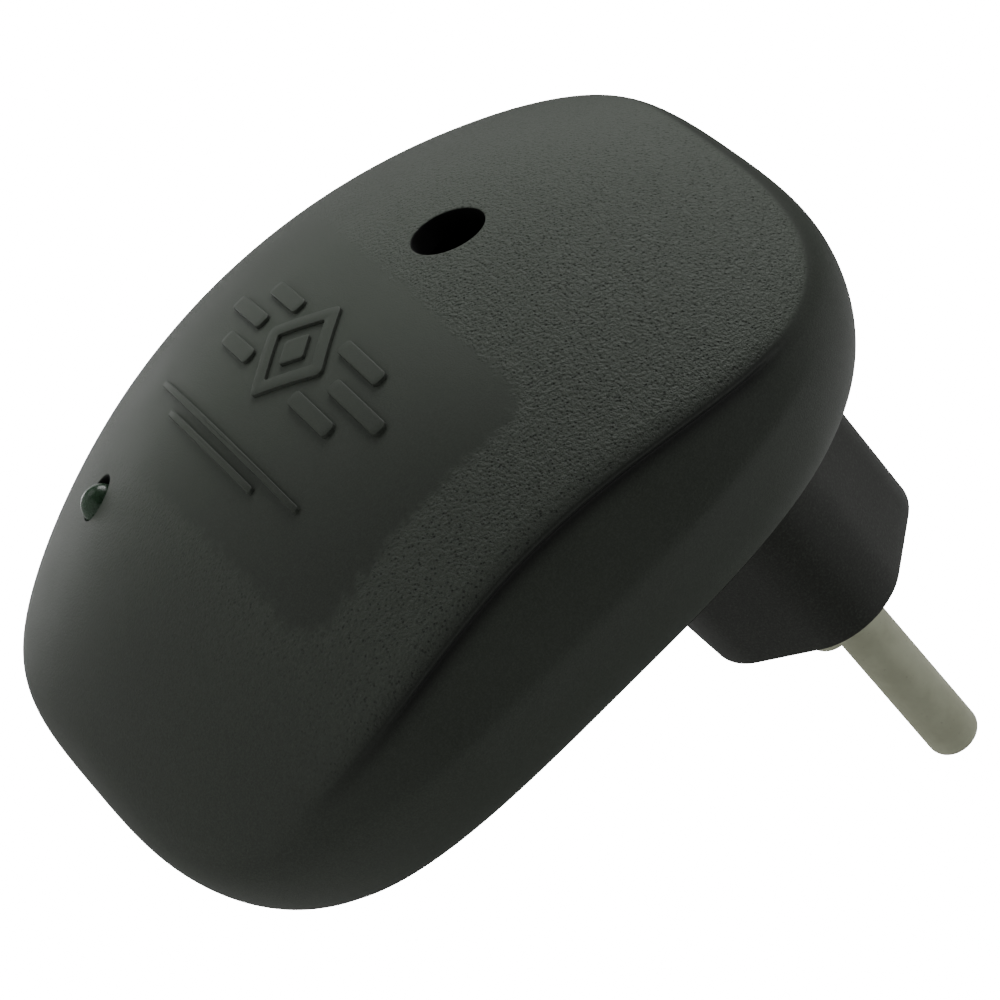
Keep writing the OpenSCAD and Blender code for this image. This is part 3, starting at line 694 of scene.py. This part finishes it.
def pad(name, path, opening=None):
    """Flat-topped raised shape with drafted walls and rounded edges, open in its middle
    where it has an opening."""
    walls = ((-0.03, -0.2), (0, RAISE - EDGE_R), (0.02, RAISE - 0.02), (EDGE_R, RAISE))
    rings = [raised(path, inset, height) for inset, height in walls]
    if opening is None:
        middle = path.mean(0)
        rings += [raised(middle + (inwards(path, EDGE_R) - middle) * part, 0, RAISE)
                  for part in (0.8, 0.6, 0.4, 0.2)]
    else:
        rings += [raised(opening, -inset, height) for inset, height in reversed(walls)]
    piece = new_piece(name, ring_mesh(name, rings, looped=opening is not None))
    smooth(piece, 50)
    return attach(piece, "cover_plastic")


def diamond(size, radius):
    tips = ((1, 0), (0, 1), (-1, 0), (0, -1))
    return rounded([(EMBLEM_X + x * size, EMBLEM_Z + z * size) for x, z in tips], radius)


def bar(x, z, length, height):
    return [(x + sx * length / 2, z + sz * height / 2)
            for sx, sz in ((1, -1), (1, 1), (-1, 1), (-1, -1))]


def emblem():
    pieces = [pad("emblem_diamond", diamond(*DIAMOND), diamond(*OPENING)),
              pad("emblem_centre", diamond(*DIAMOND_CENTRE))]
    for side, word in ((-1, "left"), (1, "right")):
        for mark, row, start, length in BARS:
            place = bar(EMBLEM_X + side * (start + length / 2), EMBLEM_Z + row, length, BAR_H)
            pieces.append(pad(f"emblem_bar_{word}_{mark}", rounded(place, BAR_R)))
    for word, z, length in LINES:
        place = bar(EMBLEM_X + LINE_X, z, length, LINE_H)
        pieces.append(pad(f"emblem_line_{word}", rounded(place, LINE_R, 80)))
    return pieces


# ---- Materials ----

class Paint:
    """Short way to write one material's nodes."""

    def __init__(self, name):
        self.material = bpy.data.materials.new(name)
        self.material.use_nodes = True
        self.tree = self.material.node_tree
        self.tree.nodes.clear()
        self.output = self.tree.nodes.new("ShaderNodeOutputMaterial")
        self.where = self.node("ShaderNodeTexCoord").outputs
        self.mm = self.node("ShaderNodeVectorMath", operation="SCALE",
                            values={0: self.where["Object"], "Scale": 1000.0}).outputs[0]

    def node(self, kind, values=None, **settings):
        """A node with its settings; values are constants or other nodes' outputs."""
        made = self.tree.nodes.new(kind)
        for key, value in settings.items():
            setattr(made, key, value)
        for key, value in (values or {}).items():
            if isinstance(value, bpy.types.NodeSocket):
                self.tree.links.new(value, made.inputs[key])
            else:
                made.inputs[key].default_value = value
        return made

    def math(self, operation, a, b=0.0):
        return self.node("ShaderNodeMath", {0: a, 1: b}, operation=operation).outputs[0]

    def noise(self, scale, detail=3.0, rough=0.55, at=None):
        made = self.node("ShaderNodeTexNoise", {"Vector": at or self.mm, "Scale": scale,
                                                "Detail": detail, "Roughness": rough})
        return made.outputs["Fac"]

    def ramp(self, value, low, high, to_low=0.0, to_high=1.0):
        """The value eased from one range to another, and held outside it."""
        made = self.node("ShaderNodeMapRange", {
            "Value": value, "From Min": low, "From Max": high, "To Min": to_low,
            "To Max": to_high}, interpolation_type="SMOOTHSTEP")
        return made.outputs["Result"]

    def mix(self, part, first, second):
        """Colour between two colours; each is three numbers or another node's output."""
        made = self.node("ShaderNodeMix", data_type="RGBA")
        for key, value in (("Factor", part), ("A", first), ("B", second)):
            socket = next(s for s in made.inputs if s.name == key and s.enabled)
            if isinstance(value, bpy.types.NodeSocket):
                self.tree.links.new(value, socket)
            else:
                socket.default_value = value if key == "Factor" else (*value, 1)
        return next(s for s in made.outputs if s.enabled)

    def bump(self, height, distance_mm, after=None):
        values = {"Height": height, "Distance": distance_mm * MM, "Strength": 1.0}
        if after is not None:
            values["Normal"] = after
        return self.node("ShaderNodeBump", values).outputs[0]

    def finish(self, values):
        shader = self.node("ShaderNodeBsdfPrincipled", values)
        self.tree.links.new(shader.outputs[0], self.output.inputs["Surface"])
        return self.material


def set_material(piece, material):
    piece.data.materials.clear()
    piece.data.materials.append(material)


# Colours of the housing's plastic, its painted light, sheen and shade, and of the pins' plating
COVER_DARK, COVER_LIGHT = (0.061, 0.072, 0.057), (0.071, 0.083, 0.067)
COVER_PAINTED_LIGHT, COVER_GRAIN_SHEEN = (0.148, 0.174, 0.141), (0.200, 0.234, 0.190)
COVER_SPECK, COVER_PIT = (0.155, 0.182, 0.148), (0.022, 0.027, 0.021)
STEM_BLACK, SHADE_BLACK = (0.034, 0.037, 0.030), (0.004, 0.0045, 0.004)
PIN_LIGHT, PIN_DARK, PIN_SPECK = (0.80, 0.83, 0.62), (0.70, 0.72, 0.53), (0.42, 0.42, 0.29)
# Smooth panel of the dome: half sizes, corner radius and height; and how far outside a hole's
# edge its painted shade has faded out
PANEL_HALF, PANEL_CORNER, PANEL_Z = (19.4, 10.8), 3.2, -3.1
HOLE_SHADE = 0.06


def outside_panel(paint, place):
    """From 0 on the smooth rounded panel of the dome to 1 outside it, over a ragged edge."""
    over_x = paint.math("SUBTRACT", paint.math("ABSOLUTE", place["X"]),
                        PANEL_HALF[0] - PANEL_CORNER)
    rise = paint.math("SUBTRACT", place["Z"], HOUSING[2] + PANEL_Z)
    over_z = paint.math("SUBTRACT", paint.math("ABSOLUTE", rise), PANEL_HALF[1] - PANEL_CORNER)
    over = paint.node("ShaderNodeCombineXYZ", {"X": paint.math("MAXIMUM", over_x, 0.0),
                                               "Y": paint.math("MAXIMUM", over_z, 0.0)})
    far = paint.node("ShaderNodeVectorMath", {0: over.outputs[0]}, operation="LENGTH")
    ragged = paint.math("MULTIPLY", paint.noise(1.2, 3.0), 2.0)
    far = paint.math("ADD", far.outputs["Value"], ragged)
    return paint.ramp(far, PANEL_CORNER + 0.3, PANEL_CORNER + 1.7)


def inside_hole(paint, place, x, z, radius):
    """1 within a round hole of the dome and 0 outside it, for the painted shade in the hole."""
    middle = paint.node("ShaderNodeCombineXYZ", {"X": x, "Z": z + HOUSING[2]})
    flat = paint.node("ShaderNodeCombineXYZ", {"X": place["X"], "Z": place["Z"]})
    apart = paint.node("ShaderNodeVectorMath", {0: flat.outputs[0], 1: middle.outputs[0]},
                       operation="DISTANCE")
    return paint.ramp(apart.outputs["Value"], radius + 0.01, radius + HOLE_SHADE, 1.0, 0.0)


def cover_material():
    """Dark grey-green moulded plastic: grained dome with a smooth panel, fine matte sides,
    painted light and sheen on the dome, and black painted shade in the holes and step groove."""
    paint = Paint("cover_plastic")
    place = paint.node("ShaderNodeSeparateXYZ", {0: paint.mm}).outputs
    facing = paint.node("ShaderNodeSeparateXYZ", {0: paint.where["Normal"]}).outputs["Y"]
    on_dome = paint.ramp(paint.math("MULTIPLY", facing, -1.0), 0.55, 0.75)
    grain_mask = paint.math("MULTIPLY", on_dome, outside_panel(paint, place))
    # The grain fades towards one side, the top and most of all the bottom
    rise = paint.math("SUBTRACT", place["Z"], HOUSING[2])
    depth = grain_mask
    for fading in (paint.ramp(place["X"], -14, 14, 0.4, 1.0), paint.ramp(rise, 14, 28, 1.0, 0.7),
                 paint.ramp(rise, -24, -4, 0.12, 1.0)):
        depth = paint.math("MULTIPLY", depth, fading)
    grain = paint.math("MULTIPLY", paint.ramp(paint.noise(4.2, 2.0, 0.6), 0.32, 0.68), depth)
    cells = paint.node("ShaderNodeTexVoronoi", {"Vector": paint.mm, "Scale": 3.0})
    pits = paint.math("MULTIPLY", depth, paint.ramp(
        cells.outputs["Distance"], 0.1, 0.36, 1.0, 0.0))
    fine = paint.noise(8.0, 3.0, 0.6)
    broad = paint.noise(0.06, 3.0, 0.6)
    colour = paint.mix(paint.ramp(broad, 0.3, 0.7), COVER_DARK, COVER_LIGHT)
    # Painted light: the dome is painted lighter, least in one lower corner and along the left side
    slope = paint.math("SUBTRACT", rise, paint.math("MULTIPLY", place["X"], 1.2))
    painted_light = paint.math("MULTIPLY", on_dome, paint.ramp(slope, -32, 6))
    painted_light = paint.math("MULTIPLY", painted_light, paint.ramp(place["X"], -24, -4, 0.3, 1.0))
    colour = paint.mix(painted_light, colour, COVER_PAINTED_LIGHT)
    colour = paint.mix(paint.ramp(fine, 0.35, 0.75, 0.0, 0.3), colour, COVER_SPECK)
    # Painted sheen: the grain is painted lighter as far as it is deep
    colour = paint.mix(paint.math("MULTIPLY", depth, 0.5), colour, COVER_GRAIN_SHEEN)
    colour = paint.mix(paint.math("MULTIPLY", grain, 0.25), colour, COVER_SPECK)
    # Painted shade: the grain's pits are painted darker
    colour = paint.mix(paint.math("MULTIPLY", pits, 0.55), colour, COVER_PIT)
    # Painted shade: black along the bottom of the step groove and inside the holes
    in_groove = paint.node("ShaderNodeAttribute", attribute_name="groove").outputs["Fac"]
    painted_shade = paint.math("MULTIPLY", in_groove, 0.95)
    # Painted shade inside the sound hole and the lamp's hole
    for x, z, radius in ((SOUND_X, SOUND_Z, SOUND_R), (LAMP_X, LAMP_Z, LAMP_HOLE_R)):
        painted_shade = paint.math("MAXIMUM", painted_shade, inside_hole(paint, place, x, z, radius))
    colour = paint.mix(painted_shade, colour, SHADE_BLACK)
    rough = paint.math("ADD", paint.ramp(broad, 0.2, 0.8, 0.5, 0.58),
                       paint.math("MULTIPLY", fine, 0.08))
    rough = paint.math("ADD", rough, paint.math("MULTIPLY", pits, 0.2))
    normal = paint.bump(fine, 0.02)
    normal = paint.bump(grain, 0.09, after=normal)
    normal = paint.bump(paint.math("SUBTRACT", 1.0, pits), 0.06, after=normal)
    return paint.finish({"Base Color": colour, "Roughness": rough, "Normal": normal})


def stem_material():
    """Finer and darker moulded plastic of the rear cover and plug stem."""
    paint = Paint("stem_plastic")
    place = paint.node("ShaderNodeSeparateXYZ", {0: paint.mm}).outputs
    on_stem = paint.ramp(paint.math("SUBTRACT", place["Y"], HOUSING[1] + BODY_D), -1.0, 0.5)
    fine = paint.noise(6.0, 3.0, 0.6)
    broad = paint.noise(0.08, 3.0, 0.6)
    colour = paint.mix(paint.ramp(broad, 0.3, 0.7), COVER_DARK, COVER_LIGHT)
    colour = paint.mix(on_stem, colour, STEM_BLACK)
    colour = paint.mix(paint.ramp(fine, 0.4, 0.8, 0.0, 0.3), colour, COVER_SPECK)
    rough = paint.math("ADD", paint.ramp(broad, 0.2, 0.8, 0.5, 0.58),
                       paint.math("MULTIPLY", fine, 0.08))
    return paint.finish({"Base Color": colour, "Roughness": rough,
                         "Normal": paint.bump(fine, 0.012)})


def pin_material():
    """Dull nickel plating, oxidised to a greenish grey, with faint turning marks."""
    paint = Paint("pin_nickel")
    place = paint.node("ShaderNodeSeparateXYZ", {0: paint.mm}).outputs
    rings = paint.node("ShaderNodeCombineXYZ", {
        "X": paint.math("MULTIPLY", place["X"], 0.05), "Y": place["Y"],
        "Z": paint.math("MULTIPLY", place["Z"], 0.05)}).outputs[0]
    turned = paint.noise(9.0, 2.0, 0.5, at=rings)
    stain = paint.noise(0.35, 4.0, 0.6)
    specks = paint.noise(3.5, 2.0, 0.5)
    colour = paint.mix(paint.ramp(stain, 0.35, 0.7), PIN_LIGHT, PIN_DARK)
    colour = paint.mix(paint.ramp(specks, 0.66, 0.8, 0.0, 0.5), colour, PIN_SPECK)
    rough = paint.math("ADD", paint.ramp(stain, 0.3, 0.7, 0.5, 0.62),
                       paint.math("MULTIPLY", turned, 0.08))
    return paint.finish({"Base Color": colour, "Roughness": rough, "Metallic": 0.12,
                         "Normal": paint.bump(turned, 0.004)})


def lens_material():
    """Dark green translucent resin, slightly dull."""
    paint = Paint("lens_green")
    cloud = paint.noise(0.8, 3.0, 0.5)
    colour = paint.mix(paint.ramp(cloud, 0.3, 0.7), (0.075, 0.15, 0.085), (0.095, 0.19, 0.11))
    rough = paint.ramp(paint.noise(4.0), 0.3, 0.7, 0.22, 0.32)
    return paint.finish({"Base Color": colour, "Roughness": rough, "IOR": 1.5,
                         "Transmission Weight": 0.25, "Normal": paint.bump(cloud, 0.02)})


# Each inner finish: two colours, patch size and speck size per mm, roughness from and to,
# metalness, and bump depth in mm
FINISHES = {
    "screw_steel": ((0.62, 0.62, 0.60), (0.50, 0.50, 0.47), 0.7, 9.0, 0.28, 0.42, 1.0, 0.006),
    "retainer_plastic": ((0.60, 0.57, 0.48), (0.52, 0.49, 0.40), 0.15, 5.0, 0.42, 0.55, 0.0, 0.01),
    "board_laminate": ((0.55, 0.40, 0.19), (0.44, 0.30, 0.13), 0.25, 3.0, 0.38, 0.52, 0.0, 0.01),
    "brass_disc": ((0.72, 0.54, 0.24), (0.60, 0.42, 0.17), 0.3, 8.0, 0.25, 0.38, 1.0, 0.003),
    "piezo_ceramic": ((0.74, 0.73, 0.68), (0.64, 0.63, 0.57), 0.4, 7.0, 0.42, 0.6, 0.35, 0.008),
    "gasket_foam": ((0.055, 0.055, 0.055), (0.03, 0.03, 0.03), 1.2, 5.0, 0.85, 0.95, 0.0, 0.08),
    "clamp_plastic": ((0.075, 0.075, 0.075), (0.055, 0.055, 0.058), 0.2, 6.0, 0.45, 0.6, 0.0, 0.01),
    "tinned_lead": ((0.66, 0.66, 0.66), (0.54, 0.54, 0.53), 0.8, 8.0, 0.25, 0.4, 1.0, 0.005),
    "film_case": ((0.62, 0.44, 0.08), (0.52, 0.35, 0.06), 0.2, 6.0, 0.28, 0.4, 0.0, 0.008),
    "can_sleeve": ((0.03, 0.035, 0.13), (0.02, 0.02, 0.09), 0.25, 6.0, 0.22, 0.34, 0.0, 0.006),
    "fuse_body": ((0.36, 0.42, 0.33), (0.28, 0.34, 0.26), 0.8, 5.0, 0.55, 0.75, 0.0, 0.03),
    "diode_black": ((0.03, 0.03, 0.03), (0.045, 0.045, 0.045), 0.4, 7.0, 0.4, 0.55, 0.0, 0.008),
    "zener_glass": ((0.55, 0.18, 0.07), (0.45, 0.12, 0.05), 0.6, 6.0, 0.08, 0.18, 0.0, 0.004),
    "resistor_tan": ((0.62, 0.46, 0.27), (0.53, 0.37, 0.20), 0.5, 6.0, 0.32, 0.46, 0.0, 0.015),
    "cap_ceramic": ((0.60, 0.29, 0.08), (0.48, 0.21, 0.05), 0.5, 5.0, 0.35, 0.5, 0.0, 0.02),
    "chip_epoxy": ((0.035, 0.035, 0.038), (0.05, 0.05, 0.052), 0.4, 8.0, 0.5, 0.65, 0.0, 0.012),
    "ferrite": ((0.055, 0.055, 0.06), (0.08, 0.078, 0.08), 0.6, 8.0, 0.6, 0.75, 0.1, 0.02),
    "solder": ((0.62, 0.62, 0.63), (0.48, 0.48, 0.48), 1.2, 6.0, 0.2, 0.35, 1.0, 0.01),
    "wire_brown": ((0.22, 0.08, 0.03), (0.17, 0.06, 0.02), 0.4, 6.0, 0.28, 0.4, 0.0, 0.006),
    "wire_blue": ((0.03, 0.09, 0.38), (0.02, 0.06, 0.28), 0.4, 6.0, 0.28, 0.4, 0.0, 0.006),
    "wire_red": ((0.46, 0.02, 0.02), (0.36, 0.015, 0.015), 0.4, 6.0, 0.28, 0.4, 0.0, 0.006),
    "wire_black": ((0.02, 0.02, 0.02), (0.035, 0.035, 0.035), 0.4, 6.0, 0.28, 0.4, 0.0, 0.006),
}


def inner_material(name):
    """Finish of an inner part: patches of two colours, darker specks and a fine bump."""
    first, second, patch, speck, rough_from, rough_to, metal, depth = FINISHES[name]
    paint = Paint(name)
    broad, fine = paint.noise(patch, 3.0, 0.6), paint.noise(speck, 2.0, 0.55)
    colour = paint.mix(paint.ramp(broad, 0.35, 0.65), first, second)
    darker = tuple(0.72 * value for value in second)
    colour = paint.mix(paint.ramp(fine, 0.5, 0.85, 0.0, 0.6), colour, darker)
    rough = paint.math("ADD", paint.ramp(broad, 0.3, 0.7, rough_from, rough_to),
                       paint.math("MULTIPLY", fine, 0.06))
    return paint.finish({"Base Color": colour, "Roughness": rough, "Metallic": metal,
                         "Normal": paint.bump(fine, depth)})


def winding_material():
    """Enamelled copper turns, wound close together round the inductor's core."""
    paint = Paint("copper_wire")
    place = paint.node("ShaderNodeSeparateXYZ", {0: paint.mm}).outputs
    turns = paint.math("ABSOLUTE", paint.math("SINE", paint.math(
        "MULTIPLY", place["Y"], math.pi / 0.3)))
    cloud = paint.noise(0.7, 3.0, 0.6)
    colour = paint.mix(paint.ramp(cloud, 0.3, 0.7), (0.62, 0.26, 0.10), (0.50, 0.19, 0.07))
    # Painted shade: the gaps between the turns are darker
    colour = paint.mix(paint.ramp(turns, 0.0, 0.5, 0.75, 0.0), colour, (0.12, 0.04, 0.015))
    rough = paint.ramp(cloud, 0.3, 0.7, 0.22, 0.34)
    return paint.finish({"Base Color": colour, "Roughness": rough, "Metallic": 0.8,
                         "Normal": paint.bump(turns, 0.1)})


def dress_inner_nodes():
    """Gives every CAD node that stays its finish, and softens its edges where it has any."""
    materials = {name: inner_material(name) for name in FINISHES}
    materials["copper_wire"] = winding_material()
    bevels = {"cover_screws": 0.12, "board_screws": 0.12, "retainer_screw": 0.12,
              "dropper_capacitor": 0.35, "driver_chip": 0.15, "circuit_board": 0.08,
              "pin_retainer": 0.15, "resistors": 0.25, "rectifier_diodes": 0.15,
              "fusible_resistor": 0.3, "zener_diode": 0.25, "ceramic_capacitors": 0.3,
              "filter_capacitor": 0.1, "output_transistors": 0.15, "inductor_core": 0.15,
              "inductor_winding": 0.1, "transducer_clamp": 0.12, "driver_chip_legs": 0.04}
    replaced = ("front_cover", "rear_cover", "plug_pin_left", "plug_pin_right", "led_lens")
    for entry in frame["record"]["subparts"]:
        node, slot = entry["node"], entry["material_slot"]
        if node in replaced:
            continue
        piece = NODES[node]
        set_material(piece, materials[slot])
        if node in bevels:
            bevel = piece.modifiers.new("soft_edges", "BEVEL")
            bevel.width = bevels[node] * MM
            bevel.segments = 3
            bevel.limit_method = "ANGLE"
            bevel.angle_limit = math.radians(40)
            bevel.harden_normals = False


# ---- Stage: floor, light and camera ----

# Radius and height of the floor, in metres
FLOOR_RADIUS, FLOOR_Z = 0.3, -0.11


def floor():
    bpy.ops.mesh.primitive_circle_add(vertices=96, radius=FLOOR_RADIUS, fill_type="NGON",
                                      location=(0, 0, FLOOR_Z))
    disc = bpy.context.object
    disc.name = "floor"
    paint = Paint("floor_pale")
    tone = paint.noise(0.01, 2.0, 0.5)
    set_material(disc, paint.finish({
        "Base Color": paint.mix(tone, (0.78, 0.78, 0.77), (0.82, 0.82, 0.81)),
        "Roughness": 0.7}))


# Strength of the world: as the camera sees it, and as light from all round
SEEN, LIGHT_ROUND = 17.0, 0.012


def world():
    """Pure white as the camera sees it, and a faint fill as light."""
    made = bpy.data.worlds.new("studio")
    bpy.context.scene.world = made
    made.use_nodes = True
    tree = made.node_tree
    tree.nodes.clear()
    output = tree.nodes.new("ShaderNodeOutputWorld")
    path = tree.nodes.new("ShaderNodeLightPath")
    choose = tree.nodes.new("ShaderNodeMixShader")
    tree.links.new(path.outputs["Is Camera Ray"], choose.inputs[0])
    for place, strength in ((1, LIGHT_ROUND), (2, SEEN)):
        white = tree.nodes.new("ShaderNodeBackground")
        white.inputs["Color"].default_value = (1, 1, 1, 1)
        white.inputs["Strength"].default_value = strength
        tree.links.new(white.outputs[0], choose.inputs[place])
    tree.links.new(choose.outputs[0], output.inputs["Surface"])


# Camera: its turn about Z, lift and roll, its distance, the point it is aimed at, level and
# upright from the middle of the dome, and its focal length
CAMERA_TURN, CAMERA_LIFT, CAMERA_ROLL = (math.radians(v) for v in (56.746, -2.826, 46.106))
CAMERA_DISTANCE = 356.9
CAMERA_AIM = (17.01, 2.28)
CAMERA_LENS = 190.8


def camera_axes():
    """Image right and up, the way to the camera, and level and upright across that way."""
    turn, lift, roll = CAMERA_TURN, CAMERA_LIFT, CAMERA_ROLL
    back = Vector((math.sin(turn) * math.cos(lift), -math.cos(turn) * math.cos(lift),
                   math.sin(lift)))
    level = Vector((math.cos(turn), math.sin(turn), 0))
    upright = back.cross(level)
    right = math.cos(roll) * level + math.sin(roll) * upright
    up = math.cos(roll) * upright - math.sin(roll) * level
    return right, up, back, level, upright


def camera():
    right, up, back, level, upright = camera_axes()
    aim = level * CAMERA_AIM[0] + upright * CAMERA_AIM[1] + Vector(HOUSING)
    data = bpy.data.cameras.new("camera")
    data.lens = CAMERA_LENS
    data.clip_start = 0.01
    eye = bpy.data.objects.new("camera", data)
    bpy.context.scene.collection.objects.link(eye)
    place = (aim + back * CAMERA_DISTANCE) * MM
    eye.matrix_world = Matrix.Translation(place) @ Matrix((right, up, back)).transposed().to_4x4()
    bpy.context.scene.camera = eye


# Lights: their distance and size in metres, how far behind the front they are aimed, and for
# each its name, its direction as image right, image up and towards the camera, and its power
LIGHT_DISTANCE, LIGHT_SIZE, LIGHT_AIM = 1.0, 0.5, 0.012
LIGHTS = (
    ("front_top_right", (0.7, 0.7, 0.6), 0.9),
    ("front_right", (1, 0, 0.25), 0.6),
    ("front_low_right", (0.9, -0.4, 0.2), 0.8),
    ("top_left", (-0.7, 0.7, -0.1), 0.65),
    ("back_top", (0, 1, -0.3), 3.4),
    ("back_top_right", (0.9, 0.4, -0.3), 0.2),
    ("back_right", (1, 0, -0.6), 0.9),
    ("behind_right", (0.5, 0, -0.85), 0.8),
    ("behind_left", (-0.5, 0, -0.85), 1.9),
    ("behind_top_left", (-0.35, 0.35, -0.85), 0.65),
)


def area_light(name, direction, power):
    """Soft square light aimed at the object."""
    right, up, back, _, _ = camera_axes()
    way = (right * direction[0] + up * direction[1] + back * direction[2]).normalized()
    aim = Vector(HOUSING) * MM + Vector((0, LIGHT_AIM, 0))
    data = bpy.data.lights.new(name, "AREA")
    data.shape = "SQUARE"
    data.size = LIGHT_SIZE
    data.energy = power
    source = bpy.data.objects.new(name, data)
    bpy.context.scene.collection.objects.link(source)
    facing = way.to_track_quat("Z", "Y").to_matrix().to_4x4()
    source.matrix_world = Matrix.Translation(aim + way * LIGHT_DISTANCE) @ facing


def main():
    camera()
    world()
    floor()
    for name, direction, power in LIGHTS:
        area_light(name, direction, power)
    cover, stem, pin = cover_material(), stem_material(), pin_material()
    set_material(front_cover(), cover)
    set_material(rear_cover(), stem)
    set_material(plug_pin(-1, "pin_left", "plug_pin_left"), pin)
    set_material(plug_pin(1, "pin_right", "plug_pin_right"), pin)
    set_material(lamp(), lens_material())
    for piece in emblem():
        set_material(piece, cover)
    dress_inner_nodes()


main()
